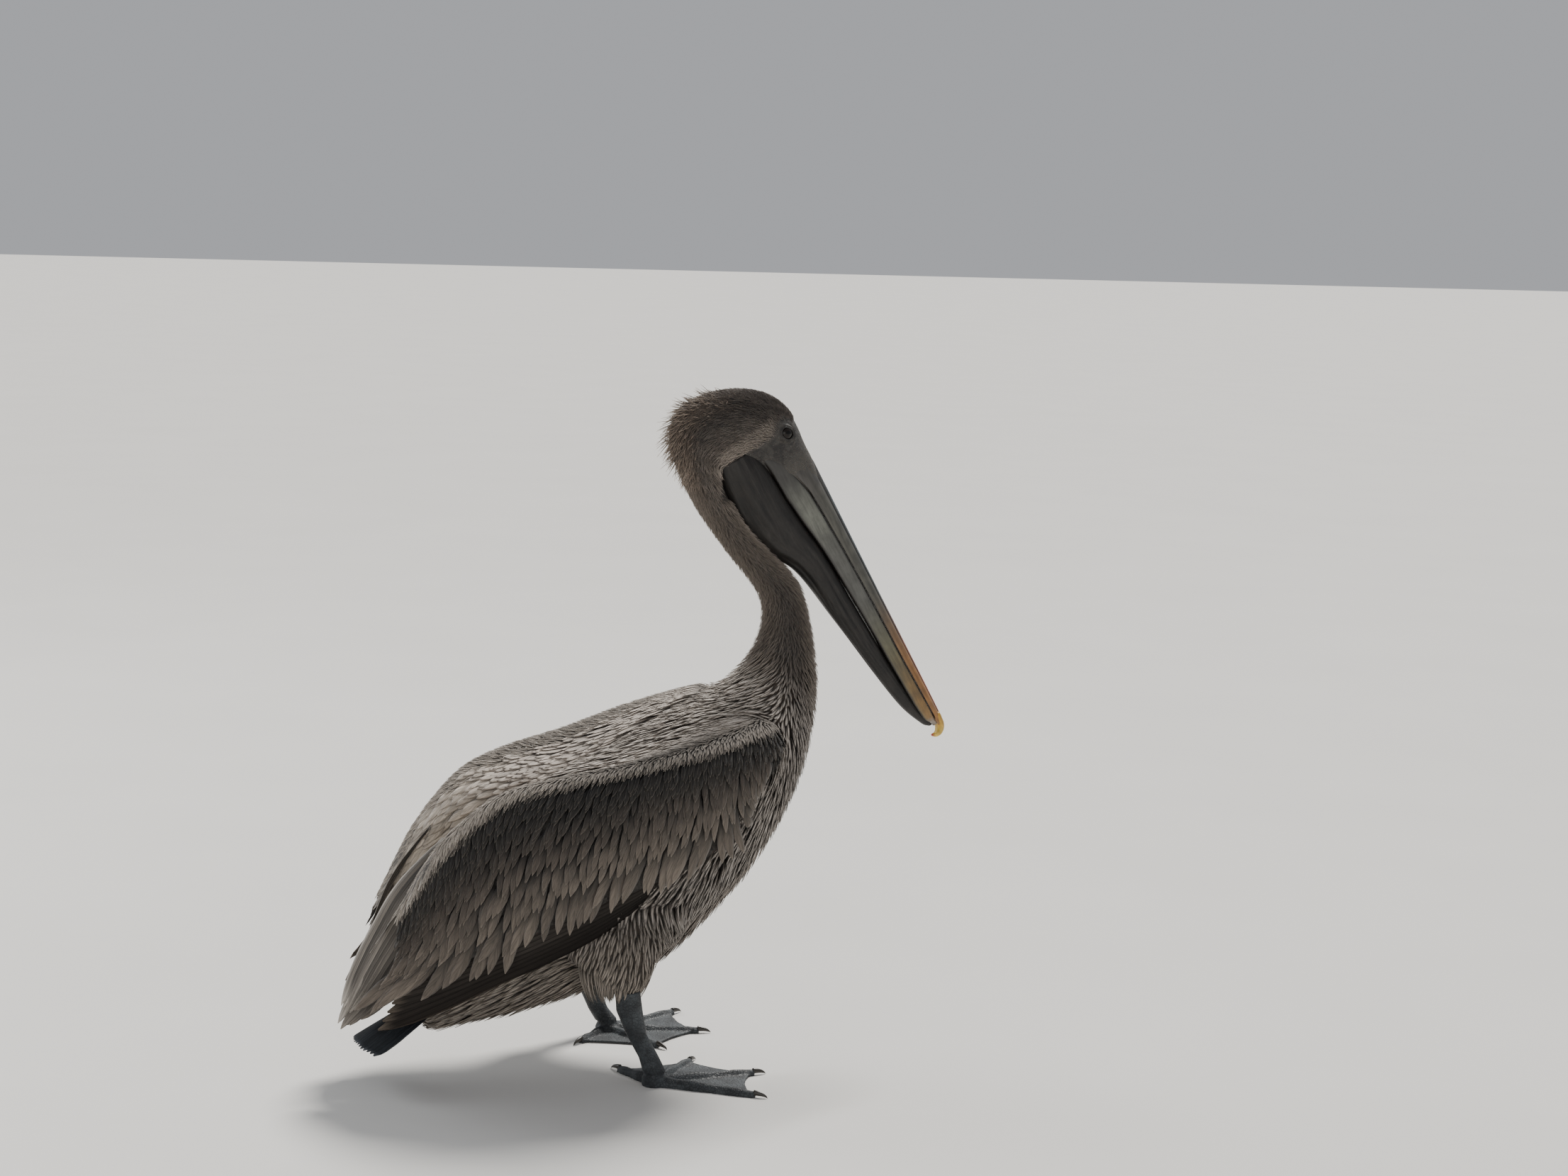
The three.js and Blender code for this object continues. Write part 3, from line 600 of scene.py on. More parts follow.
def feathers(name, centre, normal, half, kind, thick, ground, edge, rim, where, coat,
             section=SLIM, ragged=0.06, replaced=()):
    """One piece of n joined solid feathers.  centre (n, k, 3) runs along the shafts and normal is
    square to the vanes.  half and thick are in millimetres, ground and edge are colours, and rim is
    how much of the edge colour shows: each is one for all or one for each.  where (n, 2) is the
    root's place on the unwrap, and coat is a material with its slot."""
    n, k, _ = centre.shape
    m = len(section)
    half, thick = np.broadcast_to(half, n), np.broadcast_to(thick, n)
    t = vane_times(k)
    tangent = unit(np.gradient(centre, axis=1))
    side = unit(np.cross(normal, tangent))
    up = np.cross(tangent, side)
    across, height = section[:, 0], section[:, 1]
    reach = (half[:, None] * np.interp(t, *SHAPES[kind]))[:, :, None]
    width = reach * across
    width = width * (1 + ragged * rng.uniform(-1, 1, (n, k, m)))
    body = thick[:, None] * np.interp(t, [0, 0.5, 1], [1, 0.9, 0.35])
    rise = body[:, :, None] * height - DROOP * np.abs(across) ** 1.5 * reach
    verts = centre[:, :, None] + side[:, :, None] * width[..., None] + up[:, :, None] * rise[..., None]
    base = (np.arange(n) * k * m)[:, None, None]
    i, j = np.arange(k - 1)[None, :, None] * m, np.arange(m)[None, None]
    nxt = (j + 1) % m
    corners = [base + i + j, base + i + m + j, base + i + m + nxt, base + i + nxt]
    quads = np.stack(corners, -1).reshape(-1, 4)
    cap = np.array([[0, 1, 2]] if m == 3 else [[0, 1, 2, 5], [2, 3, 4, 5]])
    root = (base + cap[None]).reshape(-1, cap.shape[1])
    tip = (base + (k - 1) * m + cap[None, :, ::-1]).reshape(-1, cap.shape[1])
    ends = np.concatenate([root, tip])
    if m > 3:
        quads, ends = np.concatenate([quads, ends]), None
    vane = np.stack([np.broadcast_to(part, (n, k, m)) for part in (t[:, None], across * 0.5 + 0.5)], -1)
    spot = where[:, None, None] + PATCH * (vane - 0.5)
    chance = rng.uniform(0, 1, n)
    colours = []
    for layer, colour, beside in (("ground", ground, rim), ("edge", edge, chance)):
        own = np.column_stack([np.broadcast_to(colour, (n, 3)), np.broadcast_to(beside, n)])
        colours.append((layer, np.repeat(own, k * m, axis=0)))
    obj = make_mesh(name, place(verts.reshape(-1, 3)), quads=quads, tris=ends, colours=colours,
                    uvs=[("OFBake", spot.reshape(-1, 2)), ("vane", vane.reshape(-1, 2))])
    print(name, n, "feathers", 2 * len(quads) + (0 if ends is None else len(ends)), "triangles")
    return finish_piece(obj, *coat, replaced)


# ------------------------------------------------------------------- materials

class Look:
    """A material in the making, with a short call for each kind of node it takes."""

    def __init__(self, name, **sockets):
        self.material = bpy.data.materials.new(name)
        self.material.use_nodes = True
        self.nodes = self.material.node_tree.nodes
        self.links = self.material.node_tree.links
        self.bsdf = self.nodes["Principled BSDF"]
        self.shows(**sockets)

    def put(self, socket, value):
        """A number or another node's output goes into a socket."""
        if isinstance(value, bpy.types.NodeSocket):
            self.links.new(value, socket)
        else:
            socket.default_value = value

    def shows(self, **sockets):
        """Values for the shader's own sockets; gives the material back."""
        for key, value in sockets.items():
            self.put(self.bsdf.inputs[key.replace("_", " ")], value)
        return self.material

    def node(self, kind, **inputs):
        """A node with named inputs filled."""
        node = self.nodes.new("ShaderNode" + kind)
        for key, value in inputs.items():
            self.put(node.inputs[key], value)
        return node

    def math(self, operation, *inputs, clamp=False):
        node = self.node("Math")
        node.operation, node.use_clamp = operation, clamp
        for socket, value in zip(node.inputs, inputs):
            self.put(socket, value)
        return node.outputs[0]

    def times(self, a, b):
        return self.math("MULTIPLY", a, b)

    def ramp(self, value, low, high, to_low=0.0, to_high=1.0):
        """The value eased from low..high to to_low..to_high."""
        node = self.node("MapRange")
        node.interpolation_type = "SMOOTHSTEP"
        for socket, number in zip(node.inputs, (value, low, high, to_low, to_high)):
            self.put(socket, number)
        return node.outputs[0]

    def mixed(self, factor, a, b, blend="MIX"):
        """Colour a with colour b over it, by factor."""
        node = self.node("Mix")
        node.data_type, node.blend_type = "RGBA", blend
        self.put(node.inputs[0], factor)
        for socket, value in ((node.inputs[6], a), (node.inputs[7], b)):
            fixed = isinstance(value, (tuple, np.ndarray))
            self.put(socket, (*[float(c) for c in value], 1.0) if fixed else value)
        return node.outputs[2]

    def noise(self, vector, scale, detail=3.0, rough=0.55, dimensions="3D"):
        node = self.node("TexNoise", Vector=vector, Scale=scale, Detail=detail, Roughness=rough)
        node.noise_dimensions = dimensions
        return node.outputs["Fac"]

    def cells(self, scale, high):
        """0 on the seams between cells to 1 in them."""
        node = self.node("TexVoronoi", Vector=self.object(), Scale=scale)
        node.feature = "DISTANCE_TO_EDGE"
        return self.ramp(node.outputs["Distance"], 0.0, high)

    def bump(self, height, strength, distance, after=None):
        node = self.node("Bump", Strength=strength, Distance=distance, Height=height)
        if after is not None:
            self.put(node.inputs["Normal"], after)
        return node.outputs["Normal"]

    def object(self):
        """Object coordinates, in metres."""
        return self.node("TexCoord").outputs["Object"]

    def drawn_out(self, angle, scale):
        """Object coordinates turned about y and drawn out by scale, for folds and streaks."""
        node = self.node("Mapping", Vector=self.object())
        node.vector_type = "TEXTURE"
        node.inputs["Rotation"].default_value = (0, angle, 0)
        node.inputs["Scale"].default_value = scale
        return node.outputs[0]

    def stored(self, layer="ground"):
        """A colour layer of the mesh and its fourth value."""
        node = self.node("VertexColor")
        node.layer_name = layer
        return node.outputs["Color"], node.outputs["Alpha"]

    def toned(self, colour, tone):
        """The colour, darker or lighter by tone."""
        grey = self.node("CombineColor")
        for socket in grey.inputs[:3]:
            self.put(socket, tone)
        return self.mixed(1.0, colour, grey.outputs[0], "MULTIPLY")


def feather_coat(slot, name, roughness, barbs, rim_from, sheen, root, root_shade_to=0.6, shaft=0.5,
                 specular=0.35):
    """Feather vanes: edge colour along the rims and tip, a fine shaft, slanting barbs, and painted shade
    that darkens each vane towards its root, where the feathers over it would shade it.  Gives the
    material with its slot."""
    look = Look(name, Roughness=roughness, Specular_IOR_Level=specular, Sheen_Weight=sheen,
                Sheen_Roughness=0.4)
    uv = look.node("UVMap")
    uv.uv_map = "vane"
    along, across = look.node("SeparateXYZ", Vector=uv.outputs[0]).outputs[:2]
    beside = look.math("ABSOLUTE", look.math("MULTIPLY_ADD", across, 2.0, -1.0))
    ground, rim_shows = look.stored()
    edge, chance = look.stored("edge")
    # The pale rim follows the outline: it widens towards the tip.
    sides = look.times(beside, look.ramp(along, 0.1, 0.7, 0.75, 1.0))
    reach = look.math("MAXIMUM", look.math("POWER", along, 5.0), sides)
    rim = look.math("MULTIPLY", look.ramp(reach, rim_from, 1.0), rim_shows, clamp=True)
    line = look.times(look.ramp(beside, 0.09, 0.03), shaft)
    colour = look.mixed(line, look.mixed(rim, ground, edge), (0.004, 0.003, 0.003))
    # Barbs slant towards the tip; clumps of them part and catch the light.
    slant = look.math("MULTIPLY_ADD", beside, -0.35, along)
    fine = look.math("SINE", look.times(slant, barbs * 6.283))
    clumps = look.math("MULTIPLY_ADD", slant, barbs * 0.55, look.times(chance, 91.0))
    join = look.node("CombineXYZ", X=clumps, Y=look.times(across, 2.0))
    coarse = look.noise(join.outputs[0], 1.0, 2.0, 0.5, "2D")
    tone = look.times(look.ramp(coarse, 0.3, 0.72, 0.72, 1.22), look.ramp(chance, 0.0, 1.0, 0.8, 1.2))
    tone = look.times(tone, look.math("MULTIPLY_ADD", fine, 0.07, 1.0))
    # Painted shade: each vane is darker towards its root, where the feathers over it would shade it.
    tone = look.times(tone, look.ramp(along, 0.1, root_shade_to, root, 1.0))
    height = look.math("MULTIPLY_ADD", fine, 0.35, coarse)
    material = look.shows(Base_Color=look.toned(colour, tone), Normal=look.bump(height, 0.35, 0.0006))
    return material, slot


DOWN = feather_coat("plumage_head", "head_down", 0.7, 6, 0.35, 0.25, 0.5, shaft=0.0)
CONTOUR = feather_coat("plumage_body", "contour_feathers", 0.6, 16, 0.1, 0.15, 0.45, shaft=0.1)
COVERT = feather_coat("wing_coverts", "wing_coverts", 0.55, 20, 0.55, 0.12, 0.14, 0.85, shaft=0.25)
QUILL = feather_coat("flight_feathers", "flight_feathers", 0.7, 70, 0.7, 0.0, 0.6, specular=0.12)
LONG_COVERT = feather_coat("flight_feathers", "long_coverts", 0.52, 50, 0.4, 0.1, 0.5, 0.4)


# ------------------------------------------------------------- body plumage

quad_centre = co[quads].mean(1)
quad_area = np.linalg.norm(quad_across(co, quads), axis=1) / 2
quad_normal = unit(skin_normal[quads].mean(1))
quad_flow = unit(flow[quads].mean(1))
wing_share = relaxed(is_wing[:, None].astype(float), edges, 3)[:, 0]
quad_s, quad_share, quad_angle, quad_thigh, quad_wing, quad_depth = (
    values[quads].mean(1)
    for values in (skin_s, skin_share, skin_angle, thigh_share[:, 0], wing_share, depth))
quad_mm = unplace(quad_centre)

# Spacing, length and half width of feathers by slice from rump to bill, and on the thighs.
S_KNOTS = [0, 2, 6, 9, 10, 11, 12.5, 15, 16.5, 19, 21.3, 22.3]
spacing, length, half_width = (
    np.interp(quad_s, S_KNOTS, row) * (1 - quad_thigh) + on_thigh * quad_thigh
    for row, on_thigh in (
        ([4.8, 4.4, 3.8, 3.1, 2.1, 1.5, 1.25, 1.15, 1.15, 1.1, 0.95, 0.85], 3.4),
        ([34, 30, 25, 20, 13, 10.5, 9.5, 9.5, 9, 7.5, 4.5, 3], 17),
        ([3.1, 2.7, 2.1, 1.55, 0.85, 0.45, 0.34, 0.31, 0.31, 0.3, 0.26, 0.22], 1.4)))


def scatter(chosen, gap):
    """Even random roots on the chosen faces of the skin, at least about gap apart."""
    tries, closest = 2.6, 0.93
    weight = np.where(chosen, quad_area / (gap * MM) ** 2, 0)
    total = int(weight.sum() * tries)
    face = rng.choice(len(quads), total, p=weight / weight.sum())
    a, b = rng.uniform(0, 1, (2, total, 1))
    p = co[quads[face]]
    point = (p[:, 0] * (1 - a) + p[:, 1] * a) * (1 - b) + (p[:, 3] * (1 - a) + p[:, 2] * a) * b
    tree = KDTree(total)
    for i, q in enumerate(point.tolist()):
        tree.insert(q, i)
    tree.balance()
    free = np.ones(total, bool)
    keep = []
    reach = gap[face] * closest * MM
    for i, q in enumerate(point.tolist()):
        if free[i]:
            keep.append(i)
            for _, other, _ in tree.find_range(q, reach[i]):
                free[other] = False
    keep = np.array(keep)
    return point[keep], face[keep]


def lay(roots, size, yaw, count):
    """Shafts that run over the skin from their roots, with the flow of the plumage."""
    t = vane_times(count)
    points = np.empty((len(roots), count, 3))
    normals = np.empty_like(points)
    p = roots.copy()
    for i in range(count):
        hits = [skin_tree.find_nearest(q) for q in p.tolist()]
        p = np.array([tuple(h[0]) for h in hits])
        face = np.array([h[2] for h in hits])
        n = quad_normal[face]
        ahead = square_to(quad_flow[face], n)
        heading = ahead * np.cos(yaw)[:, None] + np.cross(n, ahead) * np.sin(yaw)[:, None]
        points[:, i], normals[:, i] = p, n
        if i < count - 1:
            p = p + heading * (size * (t[i + 1] - t[i]) * MM)[:, None]
    return points, normals


# Feathers root where little of the face of skin is wing or bare.
MOST_WING, MOST_BARE = 0.6, 0.5
roots, root_face = scatter((quad_wing < MOST_WING) & (bare(quad_mm, quad_s) < MOST_BARE), spacing)
root_mm = unplace(roots)
root_s, root_share, root_angle = quad_s[root_face], quad_share[root_face], quad_angle[root_face]
root_depth, root_wing = quad_depth[root_face], quad_wing[root_face]
root_ground, root_edge, _ = body_marks(root_mm, root_s, root_share)
root_size = length[root_face] * rng.uniform(0.82, 1.18, len(roots))


def plumage(name, chosen, count, kind, coat, thick, rim, yaw_spread):
    """One tract of the body's plumage."""
    pick = np.flatnonzero(chosen)
    if not len(pick):
        return
    s, share = root_s[pick], root_share[pick]
    yaw = rng.normal(0, yaw_spread, len(pick))
    points, normals = lay(roots[pick], root_size[pick], yaw, count)
    t = vane_times(count)
    # Beside the wing the coat lies thinner above and thicker below.
    by_wing = smooth(root_wing[pick], 0.0, 0.3) * (0.8 * smooth(share, 0.4, 0.55) - 0.4) * (s < 11)
    high = root_depth[pick] * (1 + by_wing) * rng.uniform(0.75, 1.15, len(pick))
    # Flank feathers stand out to meet the wing's lower edge.
    x, y, z = root_mm[pick].T
    flank = (smooth(z, 135, 165) * smooth(z, 250, 220) * smooth(x, -70, -30) * smooth(x, 95, 65)
             * smooth(np.abs(y), 55, 80) * (share > 0.35))
    high = high[:, None] * (t ** 0.75)[None] + (10 * flank)[:, None] * t[None]
    centre = unplace(points) + normals * high[..., None]
    half = half_width[root_face[pick]] * rng.uniform(0.85, 1.15, len(pick))
    feathers(name, centre, normals, half, kind, thick, root_ground[pick], root_edge[pick], rim,
             body_spot(s, root_angle[pick]), coat)


# The slices at which the tracts end; above the foot of the neck the feathers are fine as hair.
REAR_TO, RUMP_TO, BELLY_TO, BODY_TO, NECK_MIDDLE, NAPE_TO = 3.5, 5, 6.5, 10.3, 12.5, 18
fine = root_s > BODY_TO
front = root_share >= 0.42
rear, rump, belly = root_s <= REAR_TO, root_s <= RUMP_TO, root_s <= BELLY_TO
for part, chosen in (
        ("upper", ~front & ~rump), ("rump", ~front & rump),
        ("breast", front & ~belly), ("lower", front & belly & ~rear), ("rear", front & rear)):
    plumage(f"plumage_body_{part}", ~fine & chosen, 6, "pointed", CONTOUR, 0.5, 1.0, 0.08)
on_top = root_share < 0.45
lower_neck, on_head, nape = root_s <= NECK_MIDDLE, root_s > HEAD_START, root_s <= NAPE_TO
for part, chosen in (
        ("neck_lower", lower_neck), ("neck_upper", ~lower_neck & ~on_head),
        ("nape", on_head & nape & on_top), ("crown", ~nape & on_top), ("head_lower", on_head & ~on_top)):
    plumage(f"plumage_{part}", fine & chosen, 4, "hair", DOWN, 0.35, 0.8, 0.16)


# ------------------------------------------------------------------- the wings

def leftward(p):
    """Points of the right wing carried over to the left one."""
    x, y, z = p[..., 0], p[..., 1], p[..., 2]
    shoulder, rear, end = smooth(x, -70, 60), smooth(-x, 150, 260), smooth(-x, 240, 310)
    return np.stack([x + LEFT_WING["forward"] * rear + LEFT_WING["tuck"] * end,
                     -y - LEFT_WING["tuck"] * end, z + LEFT_WING["lift"] * shoulder], -1)


def rail_each(p, t):
    """As rail(), with each reading's own points: p is (points, n, 3) and t (n,)."""
    p, i, w = between(p, t)
    own = np.arange(len(t))
    return eased(p[i, own], p[i + 1, own], p[i + 2, own], p[i + 3, own], w[:, None])


def surface(rails, sign, first_u=0.0, first_v=0.0):
    """Reads a surface spanned by rails at (u, v): point, both slopes and outward normal.  It goes on
    straight beyond its edges.  Places run from first_u and first_v to 1."""
    rails = np.asarray(rails, float)
    if sign > 0:
        rails = leftward(rails)
    last_u, last_v = rails.shape[1] - 1, rails.shape[0] - 1
    step = 2e-3

    def inside(u, v):
        u, v = (u - first_u) / (1 - first_u), (v - first_v) / (1 - first_v)
        curves = np.stack([rail(r, u * last_u) for r in rails])
        return rail_each(curves, v * last_v)

    def read(u, v):
        cu, cv = np.clip(u, first_u + step, 1 - step), np.clip(v, first_v + step, 1 - step)
        du = (inside(cu + step, cv) - inside(cu - step, cv)) / (2 * step)
        dv = (inside(cu, cv + step) - inside(cu, cv - step)) / (2 * step)
        point = inside(cu, cv) + du * (u - cu)[:, None] + dv * (v - cv)[:, None]
        return point, du, dv, unit(np.cross(du, dv)) * (-sign)

    return read


def lay_on(read, u, v, turn, size, count):
    """Shafts over a wing's surface.  turn is 0 straight down the outer side and a quarter turn
    towards the rear."""
    t = vane_times(count)
    points = np.empty((len(u), count, 3))
    normals = np.empty_like(points)
    for i in range(count):
        p, du, dv, n = read(u, v)
        points[:, i], normals[:, i] = p, n
        if i == count - 1:
            break
        back = unit(du)
        down = square_to(dv, back)
        ahead = back * np.sin(turn)[:, None] + down * np.cos(turn)[:, None]
        step = ahead * (size * (t[i + 1] - t[i]))[:, None]
        uu, uv, vv = (du * du).sum(1), (du * dv).sum(1), (dv * dv).sum(1)
        ru, rv = (step * du).sum(1), (step * dv).sum(1)
        det = uu * vv - uv * uv
        u, v = u + (ru * vv - rv * uv) / det, v + (rv * uu - ru * uv) / det
    return points, normals


# Places on the coverts: 0 to 1 from shoulder to rear and from the back's edge to the covert tips; what
# tucks under the body lies before 0.
FIRST_U, FIRST_V = -1 / 6, -1 / 3

# Rows of coverts from the ridge down: place across the wing, feather spacing,
# length and half width in front, shape, points along each, rim.
COVERT_ROWS = (
    [(0.10 + 0.018 * i, 2.6, 12, 1.1, "pointed", 5, 1.0) for i in range(14)]
    + [(0.355 + 0.04 * i, 4.2, 21 + i, 2.0 + 0.1 * i, "lance", 6, 0.8) for i in range(5)]
    + [(0.555 + 0.068 * i, 6.0, 34, 3.2 + 0.2 * i, "lance", 8, 0.7) for i in range(3)]
    + [(0.775, 8.2, 52, 5.4, "lance", 10, 0.6)]
)
# Lengths from which coverts count as middling, long and greater ones.
MIDDLING, LONG, GREATER = 13, 20, 30
# The wing's depth from the back's edge to the covert tips, in millimetres.
WING_DEPTH = 185


def covert_turn(u, v):
    """Coverts hang almost straight down the side in front and sweep back at the rear."""
    face = np.radians(np.interp(u, [0, 0.25, 0.6, 0.8, 1.0], [28, 33, 40, 48, 60]))
    back = math.radians(80)
    return back + (face - back) * smooth(v, 0.08, 0.24)


def wing_marks(p, v):
    """Colours where a covert's tip lies: silvery on the ridge, near black below it, then grey-brown."""
    wander = noise3(p, 45, 5) * 0.5 + 0.5
    black = smooth(v, 0.36, 0.42) * smooth(v, 0.64, 0.5)
    ground = mix(WING_BROWN, WING_BLACK, black * 0.9)
    ground = mix(ground, WING_GREY, smooth(v, 0.6, 0.9) * 0.75 * (0.6 + 0.4 * wander))
    ground = mix(ground, WING_SILVER, smooth(v, 0.39, 0.33))
    edge = mix(WING_PALE * 1.1, rgb("5f574e"), smooth(v, 0.35, 0.43))
    return ground, mix(edge, rgb("8d8379"), smooth(v, 0.5, 0.85))


def coverts(side, read):
    """Rows of coverts from the ridge down to the flight feathers, one piece for each kind."""
    groups = {}
    for order, (v0, gap, size, half, kind, count, rim) in enumerate(COVERT_ROWS):
        line_u = np.linspace(-0.1, 1, 200)
        line, *_ = read(line_u, np.full(200, v0))
        run = np.concatenate([[0], np.cumsum(np.linalg.norm(np.diff(line, axis=0), axis=1))])
        # Every other row starts half a gap further on.
        at = np.arange(gap * (0.25 + 0.5 * (order % 2)), run[-1], gap)
        u = np.interp(at + rng.uniform(-0.28, 0.28, len(at)) * gap, run, line_u)
        if size > GREATER:
            u = u[u > 0.03]
        n = len(u)
        v = v0 + rng.uniform(-0.3, 0.3, n) * (0.018 if size < MIDDLING else 0.05)
        grow = 1 + 0.35 * smooth(u, 0.5, 0.95)
        # Long coverts are shorter at the shoulder.
        short = 1 - 0.5 * smooth(u, 0.12, -0.08) * (size > LONG)
        own = size * grow * rng.uniform(0.88, 1.12, n) * short
        turn = covert_turn(u, v) + rng.normal(0, 0.09, n)
        points, normals = lay_on(read, u, v, turn, own, count)
        sink, proud = 1.6 + 0.055 * size, 0.9 + 0.03 * size
        rise = sink + proud * rng.uniform(0.4, 1.3, (n, 1))
        high = -sink + rise * vane_times(count)[None] ** 0.8
        centre = points + normals * high[..., None]
        wide = half * np.sqrt(grow) * rng.uniform(0.88, 1.12, n)
        marks = wing_marks(points[:, -1], v + 0.7 * own / WING_DEPTH)
        row = (centre, normals, wide, *marks, np.full(n, rim), wing_spot(u, v))
        groups.setdefault((kind, count), []).append(row)
    for (kind, count), parts in groups.items():
        centre, normals, half, *marks, rim, where = (np.concatenate(column) for column in zip(*parts))
        feathers(f"coverts_{side}_{kind}_{count}", centre, normals, half, kind, 0.3 + 0.02 * count,
                 *marks, rim, where, COVERT, section=ROOFED if count >= 8 else SLIM)


def scapulars(side, read):
    """Pointed, pale-edged feathers over the back of the wing, large and pale at the rear."""
    grid = np.meshgrid(np.linspace(-0.1, 0.9, 56), np.linspace(-0.3, 0.12, 14))
    u, v = (places.ravel() for places in grid)
    u, v = u + rng.uniform(-0.011, 0.011, u.size), v + rng.uniform(-0.016, 0.016, v.size)
    knots, count = [0, 0.3, 0.5, 0.75, 1], 9
    size = np.interp(u, knots, [28, 32, 42, 56, 40]) * rng.uniform(0.85, 1.1, len(u))
    half = np.interp(u, knots, [2.0, 2.4, 4.2, 6.5, 6.0])
    keep = rng.uniform(0, 1, len(u)) < np.interp(u, [0, 0.4, 0.6, 1], [1, 0.95, 0.6, 0.55])
    u, v, size, half = u[keep], v[keep], size[keep], half[keep]
    n = len(u)
    turn = np.radians(84) + rng.normal(0, 0.06, n) + 0.1 * smooth(v, -0.05, 0.12)
    points, normals = lay_on(read, u, v, turn, size, count)
    high = -4 + (5.0 * rng.uniform(0.85, 1.15, (n, 1))) * vane_times(count)[None] ** 0.7
    pale = smooth(u, 0.4, 0.62) * smooth(u, 0.98, 0.8)
    ground = mix(rgb("bfb4a8"), rgb("b3a899"), pale * rng.uniform(0.5, 1.0, n))
    edge = mix(MANTLE, MANTLE_PALE, pale * 0.8)
    feathers(f"scapulars_{side}", points + normals * high[..., None], normals, half, "lance", 0.45,
             ground, edge, 0.9, wing_spot(u, v), COVERT, section=ROOFED)


FLIGHT_POINTS, FLIGHT_THICK = 22, 0.6


def flight_vanes(name, rails, sign, u, v, proud, sunk, half, ground, edge, place_u, coat, ragged,
                 replaced):
    """Long feathers whose shafts run along u over a surface; the first ones stand proud."""
    first = v[:, 0]
    points, _, _, normals = surface(rails, sign)(u.ravel(), v.ravel())
    points, normals = points.reshape(*u.shape, 3), normals.reshape(*u.shape, 3)
    points = points + normals * (proud * (1 - first))[:, None, None] - normals * sunk
    feathers(name, points, normals, half, "flight", FLIGHT_THICK, ground, edge, 0.8,
             unwrap(place_u, first), coat, section=ROOFED, ragged=ragged, replaced=replaced)


def secondaries(side, sign):
    """Long, parallel and dark feathers, each lying under the one above."""
    n, t = 10, vane_times(FLIGHT_POINTS)
    start, end = np.linspace(0.02, 0.1, n), np.linspace(0.98, 1.0, n)
    u = start[:, None] + (end - start)[:, None] * t[None]
    v = np.linspace(0.02, 0.95, n)[:, None] + 0 * u
    half = np.interp(v[:, 0], [0, 1], [9.5, 8.5])
    ground = mix(FLIGHT, FLIGHT_GREY, np.linspace(0.35, 0.05, n))
    flight_vanes(f"secondary_vanes_{side}", SECONDARY_RAILS, sign, u, v, 1.6, 1.0, half, ground,
                 WING_GREY, 0.2, QUILL, 0.02, (f"secondaries_{side}",))


def primaries(side, sign):
    """The feathers that reach past the secondaries to the wing's tip."""
    n, t = 13, vane_times(FLIGHT_POINTS)
    u = (1.0 - 0.16 * rng.uniform(0, 1, n))[:, None] * t[None]
    first = np.linspace(0.04, 0.95, n)[:, None]
    v = first + (0.5 - first) * 0.25 * t[None] ** 3
    ground = mix(rgb("2d2824"), FLIGHT_PALE, np.linspace(1.0, 0.0, n) * rng.uniform(0.25, 1.0, n))
    edge = mix(WING_GREY, WING_PALE, np.linspace(1.0, 0.1, n))
    half = rng.uniform(4.2, 5.4, n)
    flight_vanes(f"primary_vanes_{side}", PRIMARY_RAILS, sign, u, v, 5.5, 1.5, half, ground, edge,
                 0.8, LONG_COVERT, 0.03, (f"primaries_{side}",))


def tertials(side, read):
    """Long pale-edged feathers over the roots of both."""
    n = 24
    u, v = np.linspace(0.74, 0.9, n) + rng.normal(0, 0.012, n), np.linspace(0.14, -0.2, n)
    size = np.linspace(74, 100, n) * rng.uniform(0.82, 1.06, n)
    turn = np.radians(np.linspace(70, 84, n) + rng.normal(0, 3, n))
    points, normals = lay_on(read, u, v, turn, size, FLIGHT_POINTS)
    high = np.interp(vane_times(FLIGHT_POINTS), [0, 0.5, 1], [-4.5, -0.3, 1.4])[None]
    centre = points + normals * (high * rng.uniform(0.8, 1.2, (n, 1)))[..., None]
    ground = mix(rgb("3b3632"), FLIGHT_PALE, np.linspace(0.2, 0.7, n) * rng.uniform(0.3, 1.2, n))
    half = rng.uniform(2.6, 4.4, n)
    feathers(f"tertials_{side}", centre, normals, half, "lance", FLIGHT_THICK, ground, WING_PALE, 0.9,
             unwrap(u, v + 0.3), LONG_COVERT, section=ROOFED, ragged=0.08)


SIDES = (("right", -1), ("left", 1))
for side, sign in SIDES:
    over_wing = surface(COVERT_RAILS, sign, FIRST_U, FIRST_V)
    coverts(side, over_wing)
    scapulars(side, over_wing)
    secondaries(side, sign)
    primaries(side, sign)
    tertials(side, over_wing)

# The tail: a short fan of stiff dark feathers, each half over its neighbour.
TAIL_FEATHERS, TAIL_POINTS, TAIL_HALF = 14, 14, 8.5
t = vane_times(TAIL_POINTS)[None]
aside = np.linspace(-1, 1, TAIL_FEATHERS)[:, None]
root, tip = np.array(TAIL["root"], float), np.array(TAIL["tip"], float)
reach = t * (1 - 0.1 * aside ** 2) * rng.uniform(0.985, 1.0, (TAIL_FEATHERS, 1))
x, z = (root[k] + (tip[k] - root[k]) * reach for k in (0, 1))
y = aside * (TAIL["root_half"] + (TAIL["tip_half"] - TAIL["root_half"]) * t - 7)
centre = np.stack([x, y, z - TAIL["roof"] * aside ** 2 - 1.2 * np.abs(aside)], -1)
up = unit(np.stack(np.broadcast_arrays(-0.5, 0.25 * aside, np.ones_like(x)), -1))
feathers("tail_vanes", centre, up, TAIL_HALF, "round", FLIGHT_THICK, rgb("26292d"), rgb("5c6066"), 0.6,
         unwrap(0.02, aside[:, 0] * 0.4 + 0.5), QUILL, section=ROOFED, ragged=0.01, replaced=("tail",))


def face_feathers(name, face, centre, half, kind, thick, marks, rim, coat):
    """Feathers rooted on faces of the skin; marks are their ground and edge colours."""
    feathers(name, centre, quad_normal[face][:, None], half, kind, thick, *marks, rim,
             body_spot(quad_s[face], quad_angle[face]), coat)


